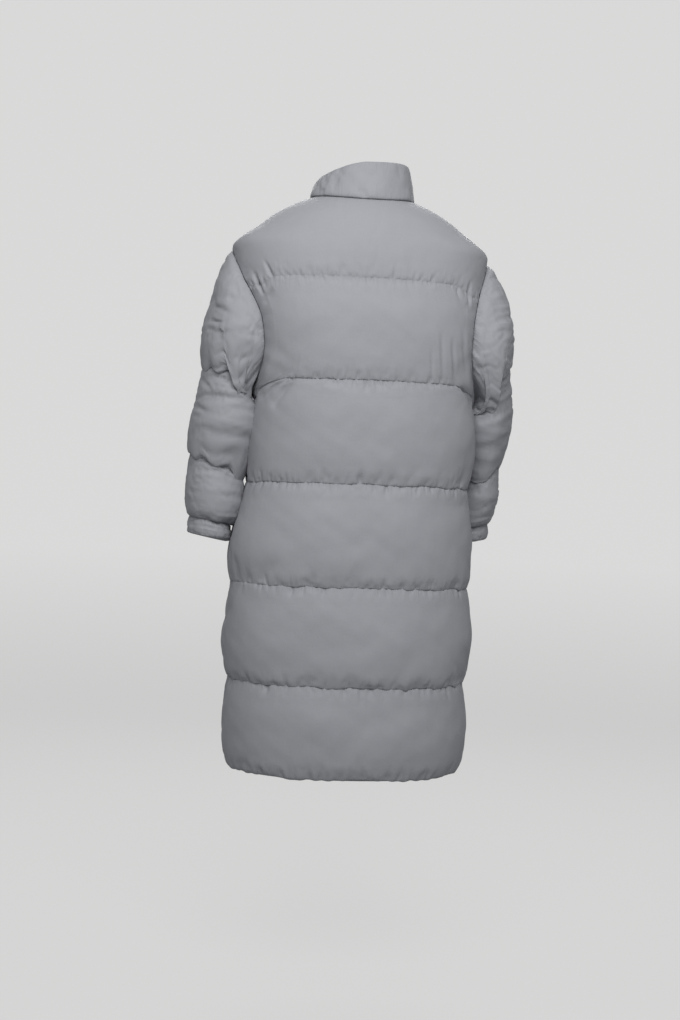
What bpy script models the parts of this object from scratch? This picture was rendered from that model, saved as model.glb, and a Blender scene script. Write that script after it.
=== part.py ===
"""A long puffer coat in its worn form: padded back, two fronts, two sleeves, a stand collar and a front zip.

Metres, +Z up. The wearer faces -Y and the wearer's left is +X. The origin is where the coat hangs on the
wearer's shoulders, in the middle of the neck at shoulder height.

The seam-level form is the surface that the stitched seams lie on. Each panel is a padded wall on that form:
it is SEAM_WALL thick along its seams, and between them its channels swell out and in.
"""

import math
from typing import NamedTuple

import bmesh
import bpy
import numpy as np
from mathutils import Matrix, Vector

# ------------------------------------------------------------------ sizes that drive the coat

GAP = 0.0003  # between two pieces that are sewn together
SEAM_WALL = 0.005  # the wall where it is stitched flat
BODY_SWELL_OUT = 0.013  # how far a body channel stands out of the seam-level form
BODY_SWELL_IN = 0.007
SLEEVE_SWELL_OUT = 0.010
SLEEVE_SWELL_IN = 0.004
COLLAR_SWELL_OUT = 0.004
COLLAR_SWELL_IN = 0.003
SWELL_EDGE = 0.045  # a channel reaches its full swell this far in from a panel's edge
COLLAR_EDGE = 0.020
ARM_PRESS = 0.30  # share of the swell that is left where a sleeve lies against the body
PRESS_ASIDE = (0.19, 0.22)  # how far from the middle the press starts, and is full
PRESS_BELOW = (-0.34, -0.30)  # levels between which it ends under the arm
PRESS_ABOVE = (-0.70, -0.64)  # levels between which it starts at the cuff
SLEEVE_PRESS = 0.35  # the same, on the sleeve's own inner side
HANG = 0.86  # below 1, a channel's fullest line hangs below its middle
FULLNESS = 0.62  # below 1, a channel is plumper than a sine arch

ZIP_HALF_SLOT = 0.007  # from the centre line to the edge of each front
CHAIN_HALF = 0.0016  # from the centre line to the edge of each tape
TAPE_THICK = 0.0012
ZIP_BOX_HIGH = 0.009
HEM_CLEAR = 0.002  # the zip's box ends this far above the hem


class BodySection(NamedTuple):
    """One level ring of the body's seam-level form."""

    z_side: float
    z_back: float
    z_front: float
    half_width: float
    back_depth: float
    front_depth: float
    squareness: float  # 2 is an ellipse, more is squarer


BODY_SECTIONS = (
    BodySection(0.066, 0.053, 0.000, 0.108, 0.098, 0.106, 2.00),  # neckline
    BodySection(0.046, 0.036, -0.018, 0.147, 0.113, 0.112, 2.00),
    BodySection(0.020, 0.012, -0.040, 0.188, 0.128, 0.118, 2.05),
    BodySection(-0.010, -0.018, -0.064, 0.225, 0.140, 0.126, 2.10),
    BodySection(-0.045, -0.050, -0.090, 0.266, 0.149, 0.134, 2.20),  # sleeve head
    BodySection(-0.116, -0.116, -0.132, 0.261, 0.160, 0.146, 2.40),  # yoke seam
    BodySection(-0.200, -0.200, -0.204, 0.247, 0.167, 0.156, 2.50),
    BodySection(-0.320, -0.320, -0.320, 0.230, 0.169, 0.163, 2.50),
    BodySection(-0.430, -0.430, -0.430, 0.225, 0.169, 0.166, 2.45),
    BodySection(-0.527, -0.527, -0.527, 0.228, 0.169, 0.168, 2.40),
    BodySection(-0.640, -0.640, -0.640, 0.237, 0.173, 0.170, 2.35),
    BodySection(-0.731, -0.731, -0.731, 0.244, 0.177, 0.172, 2.30),
    BodySection(-0.927, -0.927, -0.927, 0.242, 0.186, 0.178, 2.25),
    BodySection(-1.113, -1.113, -1.108, 0.238, 0.188, 0.180, 2.20),  # hem
)


class PanelEdge(NamedTuple):
    """Where the back and the fronts end at one level, in degrees from the wearer's side, back positive."""

    z_side: float
    back_edge: float
    front_edge: float


PANEL_EDGES = (
    PanelEdge(0.066, -20.0, -20.0),  # shoulder seam, forward of the shoulder
    PanelEdge(0.020, -13.0, -13.0),
    PanelEdge(-0.045, -8.0, -8.0),  # top of the armhole
    PanelEdge(-0.060, 4.0, -16.0),
    PanelEdge(-0.084, 14.0, -23.0),
    PanelEdge(-0.116, 22.0, -29.0),
    PanelEdge(-0.157, 29.0, -33.0),
    PanelEdge(-0.200, 32.0, -35.0),
    PanelEdge(-0.243, 31.0, -34.0),
    PanelEdge(-0.283, 26.0, -29.0),
    PanelEdge(-0.320, 15.0, -17.0),
    PanelEdge(-0.340, 0.0, 0.0),  # armpit, and the side seam below it
    PanelEdge(-1.113, 0.0, 0.0),
)

BODY_SEAMS = (-0.116, -0.320, -0.527, -0.731, -0.927)  # levels of the quilted seams
BODY_ROWS = (
    (0.066, 0.046, 0.020, -0.010, -0.045, -0.060, -0.084),
    (-0.116, -0.157, -0.200, -0.243, -0.283),
    (-0.320, -0.340, -0.380, -0.430, -0.480),
    (-0.527, -0.562, -0.606, -0.652, -0.696),
    (-0.731, -0.765, -0.805, -0.850, -0.893),
    (-0.927, -0.960, -1.000, -1.040, -1.080, -1.113),
)
BACK_COLUMNS = 22
FRONT_COLUMNS = 11
HEAD_ROW, PIT_ROW = 4, 13  # the armhole's top and bottom, counted down BODY_ROWS


class SleeveSection(NamedTuple):
    """One oval ring of a sleeve, from its outermost point to the point nearest the body."""

    run: float  # along the outside of the sleeve, from the armhole
    x_out: float
    z_out: float
    x_in: float
    z_in: float
    y_mid: float
    half_depth: float


LEFT_SLEEVE = (
    SleeveSection(0.000, 0.267, -0.047, 0.226, -0.340, 0.000, 0.104),
    SleeveSection(0.048, 0.285, -0.090, 0.241, -0.352, 0.000, 0.099),
    SleeveSection(0.120, 0.297, -0.160, 0.242, -0.362, -0.002, 0.092),
    SleeveSection(0.187, 0.312, -0.225, 0.243, -0.371, -0.005, 0.086),
    SleeveSection(0.247, 0.318, -0.283, 0.243, -0.381, -0.008, 0.080),  # first seam
    SleeveSection(0.335, 0.323, -0.370, 0.243, -0.430, -0.012, 0.074),
    SleeveSection(0.445, 0.337, -0.478, 0.246, -0.512, -0.020, 0.068),  # second seam
    SleeveSection(0.515, 0.335, -0.550, 0.250, -0.566, -0.026, 0.064),
    SleeveSection(0.570, 0.335, -0.603, 0.254, -0.617, -0.030, 0.061),  # cuff stitch
    SleeveSection(0.606, 0.336, -0.639, 0.257, -0.654, -0.032, 0.060),
)
RIGHT_SLEEVE = (
    SleeveSection(0.000, 0.267, -0.047, 0.226, -0.340, 0.000, 0.104),
    SleeveSection(0.048, 0.293, -0.090, 0.241, -0.350, -0.001, 0.099),
    SleeveSection(0.120, 0.311, -0.155, 0.242, -0.356, -0.007, 0.092),
    SleeveSection(0.187, 0.322, -0.218, 0.243, -0.360, -0.015, 0.085),
    SleeveSection(0.247, 0.328, -0.282, 0.243, -0.366, -0.024, 0.079),  # first seam
    SleeveSection(0.335, 0.330, -0.370, 0.243, -0.422, -0.045, 0.073),
    SleeveSection(0.445, 0.324, -0.482, 0.240, -0.508, -0.076, 0.067),  # second seam
    SleeveSection(0.515, 0.319, -0.545, 0.239, -0.560, -0.094, 0.062),
    SleeveSection(0.570, 0.312, -0.597, 0.238, -0.609, -0.108, 0.059),  # cuff stitch
    SleeveSection(0.606, 0.310, -0.632, 0.237, -0.644, -0.117, 0.058),
)
SLEEVE_SEAMS = (0.247, 0.445, 0.570)  # runs of the quilted seams and the cuff stitch
SLEEVE_ROWS = (
    (0.000, 0.048, 0.098, 0.150, 0.205),
    (0.247, 0.290, 0.345, 0.400),
    (0.445, 0.480, 0.530),
    (0.570, 0.588, 0.606),
)
ARMHOLE_BLEND = 0.10  # a sleeve leaves the armhole's own curve over this run
LEFT_SHIFTS = (0.0, 0.008, -0.010, 0.0, 0.0)  # how far down the arm each row of stitches has slipped
RIGHT_SHIFTS = (0.0, -0.020, -0.012, 0.0, 0.0)
PIT_RUN = 0.080  # the first sleeve seam climbs to this run at the armpit
PIT_CLIMB = 2.5  # above 1, it climbs mostly near the armpit


class CollarSection(NamedTuple):
    """One ring of the stand collar, at a share of its height."""

    share: float
    z_side: float
    z_back: float
    z_front: float
    half_width: float
    back_depth: float
    front_depth: float


COLLAR_SECTIONS = (
    CollarSection(0.0, 0.066, 0.053, 0.000, 0.108, 0.098, 0.106),
    CollarSection(0.5, 0.099, 0.092, 0.050, 0.099, 0.094, 0.101),
    CollarSection(1.0, 0.128, 0.131, 0.100, 0.091, 0.089, 0.094),
)
COLLAR_ROWS = (0.0, 0.2, 0.5, 0.8, 1.0)
COLLAR_LEAN = 0.026  # the collar's top is this much lower at the wearer's left side
LEAN_NARROW = 1.4  # above 1, the lean is mostly there

SWAY = 0.015  # the coat is pushed this far to the wearer's right between the arms
SWAY_LEVELS = (
    (-0.68, 0.0),
    (-0.56, 0.45),
    (-0.44, 1.0),
    (-0.36, 1.0),
    (-0.22, 0.8),
    (-0.12, 0.0),
)  # levels, and the share of the sway at each
SWAY_OUT, SWAY_IN = 0.33, 0.24  # how far aside it starts, and is full
SWAY_FRONT, SWAY_BACK = -0.15, -0.05  # how far back it starts, and is full

SLIDER_BELOW_TOP = 0.012
STOP_BELOW_TOP = 0.004
ZIP_LINE_STEPS = 30
MM = 0.001  # the hard zip pieces' blocks are given in millimetres

SHELL_GREY = (0.33, 0.33, 0.345)
TAPE_GREY = (0.16, 0.16, 0.17)
METAL_GREY = (0.30, 0.30, 0.31)


# ------------------------------------------------------------------ curves through the tables


def through(rows, at):
    """Every column after the first, at the given values of the first, on smooth curves with no overshoot."""
    table = np.array(sorted(rows), float)
    keys, columns = table[:, 0], table[:, 1:]
    rises = np.diff(columns, axis=0) / np.diff(keys)[:, None]
    before, after = rises[:-1], rises[1:]
    even = 2 * before * after / np.where(before + after == 0, 1, before + after)
    slopes = np.vstack([rises[:1], np.where(before * after > 0, even, 0), rises[-1:]])
    at = np.clip(np.asarray(at, float), keys[0], keys[-1])
    i = np.clip(np.searchsorted(keys, at) - 1, 0, len(keys) - 2)
    width = (keys[i + 1] - keys[i])[..., None]
    t = (at - keys[i])[..., None] / width
    return (
        columns[i] * (1 + 2 * t) * (1 - t) ** 2
        + columns[i + 1] * t**2 * (3 - 2 * t)
        + slopes[i] * width * t * (1 - t) ** 2
        - slopes[i + 1] * width * t**2 * (1 - t)
    )


def oval(angle, z_side, z_back, z_front, half_width, back_depth, front_depth, squareness):
    """The point of a ring at an angle from the wearer's left side, where 90 degrees is the back."""
    across, along = np.cos(angle), np.sin(angle)
    power = 2 / squareness
    behind = along >= 0
    x = half_width * np.sign(across) * np.abs(across) ** power
    y = np.where(behind, back_depth, front_depth) * np.sign(along) * np.abs(along) ** power
    z = z_side + (np.where(behind, z_back, z_front) - z_side) * along**2
    return np.stack([x, y, z], axis=-1)


def body_form(angle, z_side):
    """The body's seam-level form."""
    z_side = np.clip(z_side, BODY_SECTIONS[-1].z_side, BODY_SECTIONS[0].z_side)
    angle, z_side = np.broadcast_arrays(np.asarray(angle, float), z_side)
    return oval(angle, z_side, *np.moveaxis(through(BODY_SECTIONS, z_side), -1, 0))


def collar_form(angle, share):
    """The collar's seam-level form, from the neckline, share 0, to its top, share 1."""
    angle, share = np.broadcast_arrays(np.asarray(angle, float), np.asarray(share, float))
    points = oval(angle, *np.moveaxis(through(COLLAR_SECTIONS, share), -1, 0), 2.0)
    points[..., 2] -= COLLAR_LEAN * share * np.clip(np.cos(angle), 0, 1) ** LEAN_NARROW
    return points


def smooth(share):
    """A soft step from 0 to 1."""
    share = np.clip(share, 0, 1)
    return share * share * (3 - 2 * share)


def swayed(points):
    """The points, pushed to the wearer's right between the arms and left alone at the front and outside."""
    inside = smooth((SWAY_OUT - np.abs(points[..., 0])) / (SWAY_OUT - SWAY_IN))
    behind = smooth((points[..., 1] - SWAY_FRONT) / (SWAY_BACK - SWAY_FRONT))
    push = SWAY * through(SWAY_LEVELS, points[..., 2])[..., 0] * inside * behind
    return points - push[..., None] * np.array([1.0, 0.0, 0.0])


def unit(vectors):
    """The vectors at length 1."""
    return vectors / np.linalg.norm(vectors, axis=-1, keepdims=True)


def form_normals(form, angle, level):
    """Outward normals of a form whose level rises with height."""
    step = 1e-4
    around = form(angle + step, level) - form(angle - step, level)
    upward = form(angle, level + step) - form(angle, level - step)
    return unit(np.cross(around, upward))


def arch(share):
    """The swell of a channel from 0 at its upper seam through its fullest line to 0 at its lower seam."""
    return np.sin(np.pi * np.clip(share, 0, 1) ** (1 / HANG)) ** FULLNESS


def channel_swell(level, seams):
    """The arch at each level, between the seams on either side of it. Levels and seams increase downward."""
    level = np.asarray(level, float)
    i = np.clip(np.searchsorted(seams, level, side="right") - 1, 0, len(seams) - 2)
    seams = np.asarray(seams)
    return arch((level - seams[i]) / (seams[i + 1] - seams[i]))


def edge_swell(distance, reach):
    """The swell's rise from 0 at a panel's edge to 1 at reach."""
    t = np.clip(distance / reach, 0, 1)
    return np.sqrt(t * (2 - t))


# ------------------------------------------------------------------ solids


def make_object(name, mesh, colour, roughness, metallic=0.0, smooth_angle=50):
    """Adds an object with its own material to the scene."""
    material = bpy.data.materials.new(name)
    material.use_nodes = True
    shader = material.node_tree.nodes["Principled BSDF"]
    shader.inputs["Base Color"].default_value = (*colour, 1)
    shader.inputs["Roughness"].default_value = roughness
    shader.inputs["Metallic"].default_value = metallic
    mesh.materials.append(material)
    mesh.shade_smooth()
    mesh.set_sharp_from_angle(angle=math.radians(smooth_angle))
    obj = bpy.data.objects.new(name, mesh)
    bpy.context.scene.collection.objects.link(obj)
    return obj


def wall(name, outer, inner, colour, roughness, tube=False, turned_from=None):
    """A closed wall between two grids of points, rows by columns. A tube's columns close on themselves.

    Sewn edges are cut into the same triangles on both their sides, so that nothing crosses the gap. A tube's
    columns from turned_from on run up the edge that they are sewn to, so theirs are cut the other way.
    """
    rows, columns = outer.shape[:2]
    frame = bmesh.new()
    out, into = (
        [[frame.verts.new(point) for point in row] for row in swayed(grid)] for grid in (outer, inner)
    )
    steps = columns if tube else columns - 1
    for r in range(rows - 1):
        for c in range(steps):
            d = (c + 1) % columns
            for grid in (out, into):
                frame.faces.new((grid[r][c], grid[r][d], grid[r + 1][d], grid[r + 1][c]))
    borders = []
    for c in range(steps):
        ends = (c, (c + 1) % columns)
        if turned_from is not None and c >= turned_from:
            ends = ends[::-1]
        borders += [[(r, end) for end in ends] for r in (0, rows - 1)]
    if not tube:
        borders += [[(r, c), (r + 1, c)] for r in range(rows - 1) for c in (0, columns - 1)]
    for (r, c), (s, d) in borders:
        frame.faces.new((out[r][c], out[s][d], into[s][d]))
        frame.faces.new((out[r][c], into[s][d], into[r][c]))
    bmesh.ops.recalc_face_normals(frame, faces=frame.faces)
    mesh = bpy.data.meshes.new(name)
    frame.to_mesh(mesh)
    frame.free()
    return make_object(name, mesh, colour, roughness)


def swollen(form, normals, swell_out, swell_in):
    """The outer and inner faces of a padded wall on a grid of seam-level points."""
    outer = form + normals * swell_out[..., None]
    inner = form - normals * (SEAM_WALL + swell_in)[..., None]
    return outer, inner


# ------------------------------------------------------------------ body panels


def evenly(form, start, end, level, columns):
    """Angles from start to end at one level, evenly spaced along the form, and their distances."""
    dense = np.linspace(start, end, 600)
    points = form(dense, np.full(dense.shape, level))
    along = np.concatenate([[0], np.cumsum(np.linalg.norm(np.diff(points, axis=0), axis=1))])
    at = np.linspace(GAP / 2, along[-1] - GAP / 2, columns + 1)
    return np.interp(at, along, dense), at, along[-1]


def centre_angle(level, table_form):
    """The angle, short of the centre front, at which a front's edge leaves room for the zip."""
    angles = np.radians(np.linspace(-90, -60, 400))
    x = table_form(angles, np.full(angles.shape, level))[:, 0]
    return np.interp(ZIP_HALF_SLOT, x, angles)


def panel_edges(level):
    """The angles at which the back and the fronts end at a level, straight from one row to the next."""
    table = np.array(sorted(PANEL_EDGES))
    return (np.radians(np.interp(level, table[:, 0], column)) for column in table[:, 1:].T)


def panel_span(name, level):
    """The angles that a panel runs between at a level."""
    back_edge, front_edge = panel_edges(level)
    if name == "back":
        return back_edge, math.pi - back_edge
    if name == "front_left":
        return centre_angle(level, body_form), front_edge
    return math.pi - front_edge, math.pi - centre_angle(level, body_form)


def arm_press(points):
    """The share of the swell left beside the sleeves, which lie against the body's sides."""
    beside = np.interp(np.abs(points[..., 0]), PRESS_ASIDE, (0, 1))
    below_pit = np.interp(points[..., 2], PRESS_BELOW, (1, 0))
    above_cuff = np.interp(points[..., 2], PRESS_ABOVE, (0, 1))
    return 1 - (1 - ARM_PRESS) * beside * below_pit * above_cuff


def armhole_form():
    """The left armhole's seam-level points and normals, from its top down the back and up the front."""
    levels = [level for channel in BODY_ROWS for level in channel][HEAD_ROW : PIT_ROW + 1]
    back_edges, front_edges = panel_edges(levels)
    down_back = list(zip(back_edges, levels))
    up_front = list(zip(front_edges, levels))[-2:0:-1]
    angle, level = (np.array(column) for column in zip(*(down_back + up_front)))
    return body_form(angle, level), form_normals(body_form, angle, level)


def armhole_distance(points):
    """How far each point of a grid is from the nearer armhole."""
    ring = armhole_form()[0]
    ring = np.concatenate([ring, (ring + np.roll(ring, -1, axis=0)) / 2])
    left_side = points * np.where(points[..., :1] < 0, [-1, 1, 1], [1, 1, 1])
    return np.linalg.norm(left_side[..., None, :] - ring, axis=-1).min(axis=-1)


def body_panel(name, columns):
    """The outer and inner grids of the back or a front, from the neckline down to the hem."""
    levels = np.array([level for channel in BODY_ROWS for level in channel])
    spans = [evenly(body_form, *panel_span(name, level), level, columns) for level in levels]
    angles = np.array([span[0] for span in spans])
    grid_levels = np.repeat(levels[:, None], columns + 1, axis=1)
    form = body_form(angles, grid_levels)
    normals = form_normals(body_form, angles, grid_levels)
    inset = np.array([np.minimum(at, whole - at) for _, at, whole in spans])
    inset = np.minimum(inset, armhole_distance(form))
    seams = np.array([-BODY_ROWS[0][0], *(-seam for seam in BODY_SEAMS), -BODY_ROWS[-1][-1]])
    share = channel_swell(-grid_levels, seams) * edge_swell(inset, SWELL_EDGE) * arm_press(form)
    return swollen(form, normals, BODY_SWELL_OUT * share, BODY_SWELL_IN * share)


# ------------------------------------------------------------------ sleeves


def armhole_ring(side):
    """A sleeve's outer and inner points along the armhole."""
    form, normals = armhole_form()
    inward = form.mean(axis=0) - form
    inward -= normals * np.sum(inward * normals, axis=1, keepdims=True)
    form = form + unit(inward) * GAP
    mirror = np.array([side, 1, 1])
    return form * mirror, (form - normals * SEAM_WALL) * mirror


def ring_distances(ring):
    """How far round a ring each of its points is, from its first point."""
    closed = np.vstack([ring, ring[:1]])
    return np.concatenate([[0], np.cumsum(np.linalg.norm(np.diff(closed, axis=0), axis=1))])[:-1]


def sleeve_angles(ring):
    """Angles for a sleeve's rings that keep the armhole's spacing, with its lowest point at 180 degrees."""
    along = ring_distances(ring)
    whole = along[-1] + np.linalg.norm(ring[-1] - ring[0])
    pit = PIT_ROW - HEAD_ROW
    back = math.pi * along[: pit + 1] / along[pit]
    front = math.pi * (1 + (along[pit + 1 :] - along[pit]) / (whole - along[pit]))
    return np.concatenate([back, front])


def climbing_runs(runs, angles, shifts):
    """The runs of each row at each angle: the rows beside the first seam climb towards the armpit."""
    inside = ((1 - np.cos(angles)) / 2) ** PIT_CLIMB
    seam, next_seam = SLEEVE_SEAMS[:2]
    climb = np.interp(runs, (SLEEVE_ROWS[0][1], seam, next_seam), (0, seam + shifts[1] - PIT_RUN, 0))
    slipped = runs + np.interp(runs, (runs[0], *SLEEVE_SEAMS, runs[-1]), shifts)
    return slipped[:, None] - climb[:, None] * inside


def sleeve_ovals(sections, runs, angles, side):
    """Points of a sleeve's ovals, at a grid of runs along its outside and at angles."""
    x_out, z_out, x_in, z_in, y_mid, half_depth = np.moveaxis(through(sections, runs), -1, 0)
    outward = (1 + np.cos(angles)) / 2
    x = x_in + (x_out - x_in) * outward
    z = z_in + (z_out - z_in) * outward
    y = y_mid + half_depth * np.sin(angles)
    return np.stack([x * side, y, z], axis=-1)


def tube_normals(grid, side):
    """Outward normals of a tube's grid of rings."""
    around = np.roll(grid, -1, axis=1) - np.roll(grid, 1, axis=1)
    downward = np.gradient(grid, axis=0)
    return unit(np.cross(around, downward)) * -side


def sleeve(sections, shifts, side):
    """The outer and inner grids of a sleeve."""
    ring_out, ring_in = armhole_ring(side)
    angles = sleeve_angles(ring_out)
    rows = np.array([run for channel in SLEEVE_ROWS for run in channel])
    runs = climbing_runs(rows, angles, shifts)
    blend = smooth(runs / ARMHOLE_BLEND)[..., None]
    form = ring_out * (1 - blend) + sleeve_ovals(sections, runs, angles, side) * blend
    normals = tube_normals(form, side)
    seams = np.array([rows[0], *SLEEVE_SEAMS, rows[-1]])
    outside = SLEEVE_PRESS + (1 - SLEEVE_PRESS) * (1 + np.cos(angles)) / 2
    share = channel_swell(rows, seams)[:, None] * outside * np.clip(runs / rows[1], 0, 1)
    outer, inner = swollen(form, normals, SLEEVE_SWELL_OUT * share, SLEEVE_SWELL_IN * share)
    outer[0], inner[0] = ring_out, ring_in
    return outer, inner


# ------------------------------------------------------------------ collar


def neckline_angles():
    """Angles round the neckline from the wearer's left front to the right, at the panels' own columns."""
    neck = BODY_ROWS[0][0]
    left, back, right = (
        evenly(body_form, *panel_span(name, neck), neck, columns)[0]
        for name, columns in (
            ("front_left", FRONT_COLUMNS),
            ("back", BACK_COLUMNS),
            ("front_right", FRONT_COLUMNS),
        )
    )
    return np.concatenate([left, back[1:-1], right])


def collar():
    """The outer and inner grids of the collar."""
    neck = neckline_angles()
    shares = np.repeat(np.array(COLLAR_ROWS)[:, None], len(neck), axis=1)
    angles = np.repeat(neck[None, :], len(COLLAR_ROWS), axis=0)
    ends = np.array([centre_angle(share, collar_form) for share in COLLAR_ROWS])
    angles[:, 0], angles[:, -1] = ends, math.pi - ends
    form = collar_form(angles, shares)
    form[0] += unit(form[1] - form[0]) * GAP
    normals = form_normals(collar_form, angles, shares)
    inset = np.minimum(neck - neck[0], neck[-1] - neck) * COLLAR_SECTIONS[0].half_width
    share = np.sin(np.pi * shares) ** FULLNESS * edge_swell(inset, COLLAR_EDGE)
    return swollen(form, normals, COLLAR_SWELL_OUT * share, COLLAR_SWELL_IN * share)


# ------------------------------------------------------------------ zip


def front_line():
    """Points up the centre front from the hem to the collar's top, and their distances from the hem."""
    body = body_form(-math.pi / 2, np.linspace(BODY_SECTIONS[-1].z_side, BODY_SECTIONS[0].z_side, 200))
    stand = collar_form(-math.pi / 2, np.linspace(0, 1, 40))[1:]
    line = np.vstack([body, stand])
    along = np.concatenate([[0], np.cumsum(np.linalg.norm(np.diff(line, axis=0), axis=1))])
    return line, along


def zip_line(start, end, steps):
    """Evenly spaced points on the tapes' middle plane, between two distances up the centre front."""
    line, along = front_line()
    at = np.linspace(start, end, steps + 1)
    points = np.stack([np.interp(at, along, line[:, k]) for k in range(3)], axis=1)
    tangent = unit(np.gradient(points, axis=0))
    outward = np.stack([tangent[:, 0], -tangent[:, 2], tangent[:, 1]], axis=1)
    return points - outward * SEAM_WALL / 2, outward


def zip_tape(name, side):
    """One woven tape, from the box at the hem to the collar's top."""
    _, along = front_line()
    start = HEM_CLEAR + ZIP_BOX_HIGH + GAP
    middle, outward = zip_line(start, along[-1] - GAP, ZIP_LINE_STEPS)
    across = np.array([[CHAIN_HALF * side, 0, 0], [(ZIP_HALF_SLOT - GAP) * side, 0, 0]])
    plane = middle[:, None, :] + across[None, :, :]
    lift = outward[:, None, :] * TAPE_THICK / 2
    wall(name, plane + lift, plane - lift, TAPE_GREY, 0.9)


def block(frame, low, high, bevel=0.0):
    """Adds a box between two corners, with its edges bevelled."""
    made = bmesh.ops.create_cube(frame, size=1.0)["verts"]
    low, high = Vector(low), Vector(high)
    bmesh.ops.scale(frame, verts=made, vec=high - low)
    bmesh.ops.translate(frame, verts=made, vec=(low + high) / 2)
    if bevel:
        edges = list({edge for vert in made for edge in vert.link_edges})
        bmesh.ops.bevel(frame, geom=edges, offset=bevel, segments=2, affect="EDGES", profile=0.5)


def solid_of_blocks(name, blocks, place, colour, roughness, metallic):
    """One solid that is the union of boxes in the zip's own axes, x across, y out and z up."""
    parts = []
    for low, high, bevel in blocks:
        frame = bmesh.new()
        block(frame, low, high, bevel)
        frame.transform(place)
        mesh = bpy.data.meshes.new(name)
        frame.to_mesh(mesh)
        frame.free()
        parts.append(mesh)
    obj = make_object(name, parts[0], colour, roughness, metallic, smooth_angle=35)
    for i, mesh in enumerate(parts[1:]):
        other = bpy.data.objects.new(f"{name}_block_{i}", mesh)
        other.hide_render = True
        other.display_type = "WIRE"
        bpy.context.scene.collection.objects.link(other)
        join = obj.modifiers.new(f"join_{i}", "BOOLEAN")
        join.operation = "UNION"
        join.object = other
    return obj


def zip_place(distance_below_top):
    """The frame of a hard zip piece: x across, -y away from the coat and z up along the chain."""
    _, along = front_line()
    at = along[-1] - distance_below_top
    points, outward = zip_line(at - 2 * MM, at + 2 * MM, 2)
    out = Vector(outward[1])
    across = Vector((1, 0, 0))
    up = across.cross(-out)
    turn = Matrix((across, -out, up)).transposed().to_4x4()
    return Matrix.Translation(Vector(points[1])) @ turn


def zip_slider():
    """The slider: two plates joined by a wedge between the tapes, with an arch for the pull."""
    blocks = (
        ((-4.5 * MM, -2.1 * MM, -5.5 * MM), (4.5 * MM, -0.9 * MM, 5.5 * MM), 0.3 * MM),
        ((-4.5 * MM, 0.9 * MM, -5.5 * MM), (4.5 * MM, 2.1 * MM, 5.5 * MM), 0.3 * MM),
        ((-1.1 * MM, -1.2 * MM, -1.5 * MM), (1.1 * MM, 1.2 * MM, 4.5 * MM), 0),
        ((-1.0 * MM, -4.6 * MM, 2.6 * MM), (1.0 * MM, -1.8 * MM, 3.9 * MM), 0),
        ((-1.0 * MM, -4.6 * MM, -3.9 * MM), (1.0 * MM, -1.8 * MM, -2.6 * MM), 0),
        ((-1.0 * MM, -5.3 * MM, -3.9 * MM), (1.0 * MM, -4.3 * MM, 3.9 * MM), 0),
    )
    solid_of_blocks("zip_slider", blocks, zip_place(SLIDER_BELOW_TOP), METAL_GREY, 0.4, 0.9)


def zip_pull():
    """The pull tab: a bar under the slider's arch, two legs beside it and the tab that hangs from them."""
    blocks = (
        ((-2.9 * MM, -3.7 * MM, -0.5 * MM), (2.9 * MM, -2.7 * MM, 0.5 * MM), 0),
        ((-3.0 * MM, -3.8 * MM, -8.0 * MM), (-1.6 * MM, -2.6 * MM, 0.7 * MM), 0),
        ((1.6 * MM, -3.8 * MM, -8.0 * MM), (3.0 * MM, -2.6 * MM, 0.7 * MM), 0),
        ((-3.4 * MM, -3.9 * MM, -31.0 * MM), (3.4 * MM, -2.5 * MM, -7.0 * MM), 0.4 * MM),
    )
    solid_of_blocks("zip_pull", blocks, zip_place(SLIDER_BELOW_TOP), METAL_GREY, 0.45, 0.9)


def zip_ends():
    """The two top stops over the tapes' edges, and the box at the hem."""
    top = zip_place(STOP_BELOW_TOP)
    for name, side in (("zip_stop_left", 1), ("zip_stop_right", -1)):
        near, far = sorted((0.3 * MM * side, 1.2 * MM * side))
        blocks = (((near, -1.2 * MM, -2.0 * MM), (far, 1.2 * MM, 2.0 * MM), 0.2 * MM),)
        solid_of_blocks(name, blocks, top, METAL_GREY, 0.4, 0.9)
    _, along = front_line()
    low = zip_place(along[-1] - HEM_CLEAR - ZIP_BOX_HIGH / 2)
    half = ZIP_BOX_HIGH / 2
    blocks = (((-4.0 * MM, -1.8 * MM, -half), (4.0 * MM, 1.8 * MM, half), 0.4 * MM),)
    solid_of_blocks("zip_box", blocks, low, METAL_GREY, 0.4, 0.9)


# ------------------------------------------------------------------ the coat


def main():
    for obj in list(bpy.data.objects):
        bpy.data.objects.remove(obj)
    wall("back", *body_panel("back", BACK_COLUMNS), SHELL_GREY, 0.75)
    wall("front_left", *body_panel("front_left", FRONT_COLUMNS), SHELL_GREY, 0.75)
    wall("front_right", *body_panel("front_right", FRONT_COLUMNS), SHELL_GREY, 0.75)
    pit = PIT_ROW - HEAD_ROW
    wall("sleeve_left", *sleeve(LEFT_SLEEVE, LEFT_SHIFTS, 1), SHELL_GREY, 0.75, tube=True, turned_from=pit)
    wall("sleeve_right", *sleeve(RIGHT_SLEEVE, RIGHT_SHIFTS, -1), SHELL_GREY, 0.75, tube=True, turned_from=pit)
    wall("collar", *collar(), SHELL_GREY, 0.75)
    zip_tape("zip_tape_left", 1)
    zip_tape("zip_tape_right", -1)
    zip_slider()
    zip_pull()
    zip_ends()


main()
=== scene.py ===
"""The looks of a long puffer coat in its worn form: padded cloth, front zip and a plain studio.

Metres, +Z up. The wearer faces -Y and the wearer's left is +X. The seam-level form is the surface that the
stitched seams lie on. Each padded piece is a wall on that form whose channels swell out and in.
"""

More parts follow.
